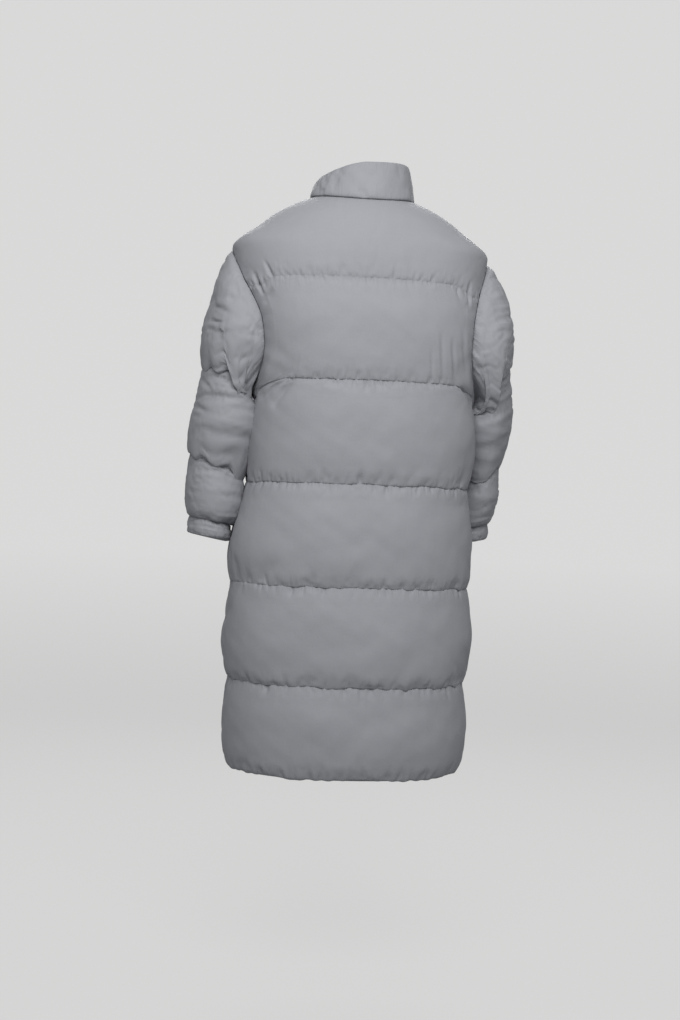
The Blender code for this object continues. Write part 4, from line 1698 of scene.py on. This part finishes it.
@dataclass
class FrontZip:
    """The front's zip: two woven tapes with moulded teeth, a slider and its pull, two stops and a box."""

    form: CoatForm
    chain_half: float = 1.6 * MM  # from the centre line to the edge of each tape
    tape_wide: float = 12.0 * MM  # its outer half lies inside the front's edge
    tape_thick: float = 0.8 * MM
    hem_clear: float = 11.3 * MM  # the box and the gap above it
    pitch: float = 2.6 * MM  # from one tooth to the next on one tape
    slider_below_top: float = 12.0 * MM
    stop_clear: float = 7.0 * MM
    steps: int = 420

    def tape(self, side: Side, weave: Material) -> Object:
        """Builds one tape with a corded inner edge.

        Args:
            side: Left or right.
            weave: Its finish.

        Returns:
            The tape, declared to the frame.
        """
        top = self.form.front_line()[1][-1] - GAP
        at = np.linspace(self.hem_clear, top, self.steps + 1)
        middle, outward = self.form.zip_line(at)
        shares = np.array([0.0, 0.02, 0.05, 0.10, 0.14, 0.20, 0.45, 0.75, 1.0])
        thick = self.tape_thick / 2 * np.array([0.5, 1.25, 1.6, 1.35, 1.0, 1.0, 1.0, 1.0, 0.8])
        across = (self.chain_half + shares * self.tape_wide) * side.value
        plane = middle[:, None, :] + np.stack([across, across * 0, across * 0], -1)[None]
        lift = outward[:, None, :] * thick[None, :, None]
        front, back = plane + lift, plane - lift
        rows, columns = front.shape[:2]
        f = np.arange(rows * columns).reshape(rows, columns)
        b = f + f.size
        faces = quads(f, turned=True) + quads(b)
        borders = ((f[0], b[0]), (f[::-1, 0], b[::-1, 0]), (f[:, -1], b[:, -1]), (f[-1, ::-1], b[-1, ::-1]))
        for o, i in borders:
            faces += np.stack([o[1:], o[:-1], i[:-1], i[1:]], -1).tolist()
        if side is Side.RIGHT:
            faces = [face[::-1] for face in faces]
        mesh = bpy.data.meshes.new(f"zip_tape_{side.name.lower()}")
        mesh.from_pydata(np.vstack([front.reshape(-1, 3), back.reshape(-1, 3)]).tolist(), [], faces)
        flat = np.stack(np.broadcast_arrays(across[None, :], at[:, None]), -1).reshape(-1, 2)
        write_metres(mesh, np.vstack([flat, flat]))
        mesh.materials.append(weave)
        mesh.shade_smooth()
        obj = stand(f"tape_{side.name.lower()}", mesh)
        declare(obj, "coat", "zip_tape", f"zip_tape_{side.name.lower()}")
        return obj

    def tooth(self) -> Part:
        """Models one moulded tooth of the left tape: a block round the tape's cord with a narrow head.

        Returns:
            Its points, in the zip's own axes, and its faces.
        """
        obj = Workbench.cube("tooth", (0.55, -0.85, -0.62), (3.3, 0.85, 0.62))
        head = lambda centre, normal: normal.x < -0.5
        heel = lambda centre, normal: normal.x > 0.5
        Workbench.shape(obj, head, extrude=(-0.75, 0, 0), resize=(1, 0.8, 0.62))
        Workbench.shape(obj, head, extrude=(-0.75, 0, 0), resize=(1, 1, 1.5))
        Workbench.shape(obj, heel, resize=(1, 0.75, 0.8))
        Workbench.shape(obj, heel, inset=0.15)
        return Workbench.taken(obj)

    def teeth(self, side: Side, plastic: Material) -> Object:
        """Builds the row of teeth on one tape, half a pitch from the other row.

        Args:
            side: Left or right.
            plastic: Its finish.

        Returns:
            The row, one joined piece.
        """
        points, faces = self.tooth()
        if side is Side.RIGHT:
            points = points * [-1, 1, 1]
            faces = [face[::-1] for face in faces]
        top = self.form.front_line()[1][-1] - self.stop_clear
        start = self.hem_clear + self.pitch * (0.5 if side is Side.LEFT else 1.0)
        origins, outward = self.form.zip_line(np.arange(start, top, self.pitch))
        across = np.tile([1.0, 0.0, 0.0], (len(origins), 1))
        axes = (across, -outward, np.cross(across, -outward))
        obj = Workbench.row(f"teeth_{side.name.lower()}", (points, faces), origins, axes, plastic)
        obj.data.set_sharp_from_angle(angle=math.radians(35))
        return declare(obj, "coat", "zip_tape")

    def slider(self, metal: Material) -> Object:
        """Models the slider: two tapered plates with flanges, a wedge between them and the pull's bridge.

        Args:
            metal: Its finish.

        Returns:
            The slider.
        """
        plates = []
        for out in (-1, 1):
            near, far = sorted((0.9 * out, 2.1 * out))
            plate = Workbench.cube("plate", (-4.5, near, -5.5), (4.5, far, 5.5))
            Workbench.shape(plate, lambda centre, normal: normal.z < -0.5, resize=(0.76, 1, 1))
            outer = lambda centre, normal, out=out: normal.y * out > 0.5
            Workbench.shape(plate, outer, inset=1.1, extrude=(0, 0.22 * out, 0), resize=(0.86, 1, 0.9))
            plates.append(plate)
            for across in (-1, 1):
                low, high = sorted((4.05 * across, 4.45 * across))
                back, front = sorted((0.72 * out, 1.5 * out))
                plates.append(Workbench.cube("flange", (low, back, -1.2), (high, front, 5.2)))
        wedge = Workbench.cube("wedge", (-1.15, -1.3, -1.0), (1.15, 1.3, 5.0))
        Workbench.shape(wedge, lambda centre, normal: normal.z < -0.5, resize=(0.25, 1, 1))
        bridge = Workbench.cube("bridge", (-1.05, -5.3, -3.9), (1.05, -1.7, 3.9))
        Workbench.shape(bridge, lambda centre, normal: normal.y < -0.5, resize=(0.85, 1, 0.82))
        hollow = Workbench.cube("hollow", (-2.0, -4.3, -2.6), (2.0, -1.95, 2.6))
        Workbench.shape(hollow, lambda centre, normal: normal.y < -0.5, resize=(1, 1, 0.85))
        Workbench.combine(bridge, [hollow], "DIFFERENCE")
        slider = Workbench.combine(plates[0], [*plates[1:], wedge, bridge], "UNION")
        slider.name = "slider"
        place = self.form.zip_place(self.slider_below_top)
        return declare(Workbench.finish(slider, place, 0.22, metal), "coat", "zip_metal", "zip_slider")

    def pull(self, metal: Material) -> Object:
        """Models the pull: a bar under the bridge, two legs and a tapered tab with a recess and a hole.

        Args:
            metal: Its finish.

        Returns:
            The pull, on its own body.
        """
        tab = Workbench.cube("pull", (-2.7, -3.9, -31.0), (2.7, -2.5, -7.0))
        Workbench.shape(tab, lambda centre, normal: normal.z < -0.5, resize=(1.26, 1, 1))
        for out in (-1, 1):
            face = lambda centre, normal, out=out: normal.y * out > 0.5
            Workbench.shape(tab, face, inset=1.0, extrude=(0, -0.28 * out, 0))
        eye = Workbench.rod("eye", (0.0, -3.2, -28.3), 1.25, 4.0, "Y", 24)
        tab = Workbench.combine(tab, [eye], "DIFFERENCE")
        bar = Workbench.rod("bar", (0.0, -3.2, 0.0), 0.55, 5.8, "X", 16)
        legs = []
        for across in (-1, 1):
            low, high = sorted((1.6 * across, 3.0 * across))
            leg = Workbench.cube("leg", (low, -3.8, -8.0), (high, -2.6, 0.7))
            Workbench.shape(leg, lambda centre, normal: normal.z > 0.5, resize=(0.8, 0.8, 1))
            legs.append(leg)
        pull = Workbench.combine(tab, [*legs, bar], "UNION")
        place = self.form.zip_place(self.slider_below_top)
        return declare(Workbench.finish(pull, place, 0.25, metal), "pull", "zip_metal", "zip_pull")

    def build(self, weave: Material, plastic: Material, metal: Material) -> None:
        """Builds every piece of the zip and finishes the stops and the box.

        Args:
            weave: Finish of the tapes.
            plastic: Finish of the teeth.
            metal: Finish of the hard pieces.
        """
        for side in Side:
            LOG.info("zip tape, %s", self.tape(side, weave).name)
            LOG.info("zip teeth, %s", self.teeth(side, plastic).name)
        LOG.info("zip slider, %s", self.slider(metal).name)
        LOG.info("zip pull, %s", self.pull(metal).name)
        for name in ("zip_stop_left", "zip_stop_right", "zip_box"):
            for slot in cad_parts[name].material_slots:
                slot.material = metal


@dataclass
class TopStitching:
    """Rows of short stitches beside the zip."""

    inset: float = 6.0 * MM
    pitch: float = 3.6 * MM
    length: float = 2.7 * MM
    thick: float = 0.5 * MM
    proud: float = 0.15  # share of the thickness by which its middle stands clear of the cloth

    def stitch(self) -> Part:
        """Models one stitch: a six-sided strand with drawn-in ends, along x.

        Returns:
            Its points and faces.
        """
        half = self.length / 2 / MM
        obj = Workbench.rod("stitch", (0.0, 0.0, 0.0), self.thick / 2 / MM, half * 1.3, "X", 6)
        for end in (-1, 1):
            tip = lambda centre, normal, end=end: normal.x * end > 0.9
            Workbench.shape(obj, tip, extrude=(half * 0.35 * end, 0, -0.12), resize=(1, 0.45, 0.45))
        return Workbench.taken(obj)

    def row(self, name: str, path: Array, normals: Array, thread: Material) -> Object:
        """Builds one row of stitches on a path over the cloth.

        Args:
            name: The row's name.
            path: Points on the cloth.
            normals: Outward normals there.
            thread: Its finish.

        Returns:
            The row, one joined piece.
        """
        along = run_length(path)
        at = np.arange(self.pitch, along[-1] - self.pitch / 2, self.pitch)
        start = along_line(at - self.length / 2, along, path)
        end = along_line(at + self.length / 2, along, path)
        forward, upward = unit(end - start), unit(along_line(at, along, normals))
        axes = (forward, unit(np.cross(upward, forward)), upward)
        origins = (start + end) / 2 + upward * self.thick * self.proud
        return declare(Workbench.row(name, self.stitch(), origins, axes, thread), "coat", "shell")

    def beside_zip(self, cloth: PaddedCloth, edge: int, thread: Material) -> Object:
        """Builds the row beside one vertical edge of a built piece.

        Args:
            cloth: The piece.
            edge: 0 for its first column, -1 for its last.
            thread: The row's finish.

        Returns:
            The row.
        """
        grid, outer = cloth.grid, cloth.outer
        at = np.abs(grid.across - grid.across[:, edge][:, None])
        order = slice(None) if edge == 0 else slice(None, None, -1)
        read = lambda values: np.array(
            [
                [np.interp(self.inset, at[r, order], values[r, order, k]) for k in range(3)]
                for r in range(len(at))
            ]
        )
        return self.row(f"stitches_{cloth.name}_{abs(edge)}", read(outer), read(grid.normals), thread)


# ------------------------------------------------------------------ studio


@dataclass
class Studio:
    """A round seamless backdrop, soft overhead light and the camera behind the wearer."""

    floor_radius: float = 4.2
    sweep: float = 2.2  # radius of the backdrop's curve
    bends: int = 14  # flat stretches of the curve
    wall: float = 3.5
    camera_distance: float = 3.1
    camera_turn: float = 7.0  # degrees to the wearer's left of straight behind
    camera_height: float = -0.58
    camera_roll: float = 2.1
    focal_pixels: float = 1480.0
    picture: tuple[int, int] = (680, 1020)
    sensor: float = 36.0
    aside_pixels: float = 10.9  # how far right of the picture's middle the coat's axis stands

    def backdrop(self, paper: Material) -> None:
        """Models and stages the backdrop: a disc whose rim is extruded outwards and up along a curve.

        Args:
            paper: Its finish.
        """
        bpy.ops.object.select_all(action="DESELECT")
        bpy.ops.mesh.primitive_circle_add(
            vertices=96, radius=self.floor_radius, fill_type="NGON", location=(0, 0, FLOOR)
        )
        obj = bpy.context.object
        obj.name = "backdrop"
        bpy.ops.object.transform_apply(location=True, rotation=True, scale=True)
        bpy.ops.object.mode_set(mode="EDIT")
        bpy.ops.mesh.select_mode(type="EDGE")
        bpy.ops.mesh.select_all(action="SELECT")
        radius, height = self.floor_radius, 0.0
        stations = [
            (self.floor_radius + self.sweep * math.sin(a), self.sweep * (1 - math.cos(a)))
            for a in (math.pi / 2 * k / self.bends for k in range(1, self.bends + 1))
        ] + [(self.floor_radius + self.sweep, self.sweep + self.wall)]
        for wider, higher in stations:
            bpy.ops.mesh.extrude_edges_move(TRANSFORM_OT_translate={"value": (0, 0, higher - height)})
            bpy.ops.transform.resize(value=(wider / radius, wider / radius, 1), center_override=(0, 0, 0))
            radius, height = wider, higher
        bpy.ops.mesh.select_all(action="SELECT")
        bpy.ops.mesh.normals_make_consistent(inside=True)
        bpy.ops.object.mode_set(mode="OBJECT")
        obj.data.materials.append(paper)
        obj.data.shade_smooth()
        obj.visible_diffuse = False
        obj.visible_glossy = False

    def softbox(self, name: str, place: Floats, aim: Floats, size: Pair, watts: float) -> None:
        """Hangs one soft light that the camera doesn't see.

        Args:
            name: Its name.
            place: Where it hangs.
            aim: What it points at.
            size: Its width and height.
            watts: Its power.
        """
        bpy.ops.object.light_add(type="AREA", location=place)
        light = bpy.context.object
        light.name = name
        light.data.shape = "RECTANGLE"
        light.data.size, light.data.size_y = size
        light.data.energy = watts
        light.rotation_euler = (Vector(aim) - Vector(place)).to_track_quat("-Z", "Y").to_euler()
        light.visible_camera = False

    def world(self, strength: float) -> None:
        """Lights the room evenly from all round."""
        world = bpy.data.worlds.new("studio_air")
        world.use_nodes = True
        background = world.node_tree.nodes["Background"]
        background.inputs["Color"].default_value = (0.98, 0.99, 1.0, 1.0)
        background.inputs["Strength"].default_value = strength
        bpy.context.scene.world = world

    def camera(self) -> None:
        """Stands the camera behind the coat, a little to the wearer's left, level and slightly rolled."""
        turn = math.radians(self.camera_turn)
        place = Vector((math.sin(turn), math.cos(turn), 0)) * self.camera_distance
        place.z = self.camera_height
        aside = math.atan(self.aside_pixels / self.focal_pixels)
        look = Matrix.Rotation(aside, 3, "Z") @ Vector((-math.sin(turn), -math.cos(turn), 0))
        data = bpy.data.cameras.new("camera")
        data.sensor_width = self.sensor
        data.lens = self.focal_pixels * self.sensor / max(self.picture)
        obj = stand("camera", data)
        aim = look.to_track_quat("-Z", "Y").to_matrix().to_4x4()
        roll = Matrix.Rotation(math.radians(self.camera_roll), 4, "Z")
        obj.matrix_world = Matrix.Translation(place) @ aim @ roll
        bpy.context.scene.camera = obj

    def build(self) -> None:
        """Sets up the whole studio."""
        self.backdrop(BackdropPaper().make())
        self.world(0.27)
        self.softbox("key", (0.2, 2.3, 1.15), (0.0, 0.1, -0.05), (2.0, 1.4), 62.0)
        self.softbox("front_fill", (-0.2, -2.3, 1.15), (0.0, -0.1, -0.05), (2.0, 1.4), 50.0)
        self.softbox("overhead", (0.0, 0.3, 3.3), (0.0, 0.0, 0.0), (3.0, 3.0), 10.0)
        bpy.context.scene.view_settings.view_transform = "Standard"


# ------------------------------------------------------------------ the coat


BACK_FOLDS = table(
    Fold,
    (0.153, -0.323, 0.190, -0.381, 3.6, 8, 3),
    (0.176, -0.329, 0.214, -0.363, 2.6, 5, 2),
    (-0.184, -0.318, -0.222, -0.368, 3.2, 7, -3),
    (0.202, -0.088, 0.190, -0.122, 3.4, 4),
    (0.224, -0.106, 0.208, -0.156, 3.6, 4.5, 2),
    (0.190, -0.140, 0.212, -0.170, 2.6, 4, -2),
    (-0.212, -0.104, -0.204, -0.158, 3.0, 4.5, -2),
    (-0.180, -0.116, -0.186, -0.146, 2.0, 4),
    (-0.134, -0.215, -0.143, -0.318, 1.3, 6, 2),
    (-0.158, -0.225, -0.169, -0.312, 1.6, 6, 3),
    (-0.113, -0.250, -0.119, -0.318, 1.1, 5),
    (-0.181, -0.205, -0.196, -0.300, 1.2, 7, 3),
    (0.252, -0.870, 0.236, -0.936, 3.0, 8, 3),
    (-0.024, -0.906, -0.035, -0.955, 2.0, 5),
    (-0.006, -0.929, -0.012, -0.965, 1.5, 4),
)


LEFT_SLEEVE_FOLDS = table(
    Fold,
    (0.319, -0.319, 0.296, -0.348, 2.2, 5),
    (0.322, -0.373, 0.300, -0.389, 1.8, 5),
    (0.288, -0.372, 0.219, -0.394, 1.2, 6, 3),
    (0.312, -0.417, 0.233, -0.437, 1.6, 6, 4),
    (0.324, -0.440, 0.268, -0.452, 1.3, 5, 2),
    (0.283, -0.456, 0.230, -0.448, 1.2, 5),
    (0.323, -0.474, 0.296, -0.499, 1.6, 5),
    (0.286, -0.508, 0.260, -0.528, 1.5, 5),
    (0.314, -0.596, 0.277, -0.616, 1.2, 5),
    (0.244, -0.532, 0.258, -0.569, 1.2, 6),
    (0.296, -0.126, 0.288, -0.181, 1.8, 5, 2),
    (0.299, -0.172, 0.268, -0.198, 1.4, 5),
    (0.313, -0.201, 0.272, -0.220, 1.2, 5),
    (0.269, -0.179, 0.226, -0.218, 1.0, 6),
    (0.229, -0.223, 0.207, -0.226, 2.6, 3.5),
    (0.291, -0.262, 0.220, -0.265, 1.0, 6, 2),
)
RIGHT_SLEEVE_FOLDS = table(
    Fold,
    (-0.251, -0.129, -0.264, -0.109, 1.6, 4),
    (-0.256, -0.185, -0.316, -0.158, 2.6, 5, 3),
    (-0.265, -0.088, -0.296, -0.088, 1.2, 5),
    (-0.283, -0.227, -0.322, -0.243, 1.3, 5),
    (-0.257, -0.256, -0.313, -0.262, 1.0, 5, 2),
    (-0.252, -0.323, -0.322, -0.331, 1.2, 6, 2),
    (-0.251, -0.386, -0.317, -0.394, 1.0, 6),
    (-0.287, -0.423, -0.316, -0.443, 1.4, 5),
    (-0.247, -0.564, -0.288, -0.555, 0.9, 5),
    (-0.239, -0.501, -0.309, -0.489, 2.0, 3.5),
)


def main() -> None:
    """Builds the coat piece by piece, then the studio."""
    logging.basicConfig(level=logging.INFO, format="%(name)s: %(message)s")
    form = CoatForm()
    studio = Studio()
    studio.camera()
    shell, lining = ShellNylon().make(), LiningNylon().make()
    body_swell = {
        "swell_out": 13 * MM,
        "swell_in": 7 * MM,
        "side_reach": (80 * MM, 36 * MM, 24 * MM, 20 * MM),
        "side_roundness": (0.1, 0.6, 1.0),
        "channel_fill": (0.52, 0.72, 0.86, 1.0, 1.1, 1.1),
        "hang": (0.90, 0.80, 0.76, 0.74),
        "fullness": (0.75, 0.62, 0.60, 0.58),
        "sag": (1.0 * MM, 2.5 * MM, 4.0 * MM, 6.5 * MM, 8.0 * MM),
        "calm": (0.20, 0.30, 0.40, 0.50),
        "ripples": (Ripple(1.2 * MM, 0.085, 0.26), Ripple(0.6 * MM, 0.030, 0.070)),
        "hem_wander": 3.5 * MM,
        "gathered_top": False,
    }
    sleeve_swell = {
        "swell_out": 10 * MM,
        "swell_in": 4 * MM,
        "mesh": FINE_SLEEVE,
        "channel_fill": (1.2, 1.25, 1.15, 0.45),
        "hang": (0.80, 0.64),
        "sag": (16 * MM, 15 * MM, 3 * MM),
        "sag_reach": 15 * MM,
        "seam_wander": 1.8 * MM,
        "calm": (0.22,),
        "ripples": (
            Ripple(1.0 * MM, 0.070, 0.20, math.pi / 2, 0.5),
            Ripple(0.4 * MM, 0.030, 0.060, math.pi / 2, 0.4),
        ),
        "puckers": Puckers((0.006, 0.016), (0.0018, 0.0034), (0.0005, 0.0018), (0.006, 0.022), 0.3),
        "crumples": (
            Crumple(2.2 * MM, 0.024, 0.060, 0.22, spread=0.35),
            Crumple(1.0 * MM, 0.012, 0.026, 0.24),
        ),
        "fold_gain": 1.0,
    }
    back = BodyPanel("back", form, 11, **body_swell, folds=BACK_FOLDS)
    front_left = BodyPanel("front_left", form, 23, **body_swell, panel=Panel.FRONT_LEFT)
    front_right = BodyPanel("front_right", form, 37, **body_swell, panel=Panel.FRONT_RIGHT)
    sleeve_left = Sleeve("sleeve_left", form, 41, **sleeve_swell, folds=LEFT_SLEEVE_FOLDS)
    sleeve_right = Sleeve(
        "sleeve_right",
        form,
        59,
        **sleeve_swell,
        folds=RIGHT_SLEEVE_FOLDS,
        side=Side.RIGHT,
        sections=RIGHT_SECTIONS,
        seam_shifts=(0.0, -0.020, -0.012, 0.0, 0.0),
    )
    collar = Collar(
        "collar",
        form,
        67,
        swell_out=4 * MM,
        swell_in=3 * MM,
        fullness=(0.26,),
        mesh=FINE_COLLAR,
        settle_limit=1.2 * MM,
        rolled_edge=1.4 * MM,
        puckers=Puckers((0.012, 0.034), (0.002, 0.004), (0.0001, 0.0005), (0.006, 0.018)),
    )
    for cloth in (back, front_left, front_right, sleeve_left, sleeve_right, collar):
        obj = cloth.build(shell, lining)
        LOG.info("%s: %d faces", obj.name, len(obj.data.polygons))
    metal = HardFinish("zip_metal", (0.20, 0.20, 0.21), (0.42, 0.42, 0.43), 0.36, 0.9).make()
    plastic = HardFinish("zip_plastic", (0.13, 0.13, 0.14), (0.2, 0.2, 0.21), 0.42, 0.0).make()
    FrontZip(form).build(TapeWeave().make(), plastic, metal)
    thread = TwistedThread().make()
    stitching = TopStitching()
    for cloth, edge in ((front_left, 0), (front_right, -1), (collar, 0), (collar, -1)):
        LOG.info("stitches, %s", stitching.beside_zip(cloth, edge, thread).name)
    studio.build()


if __name__ == "__main__":
    main()
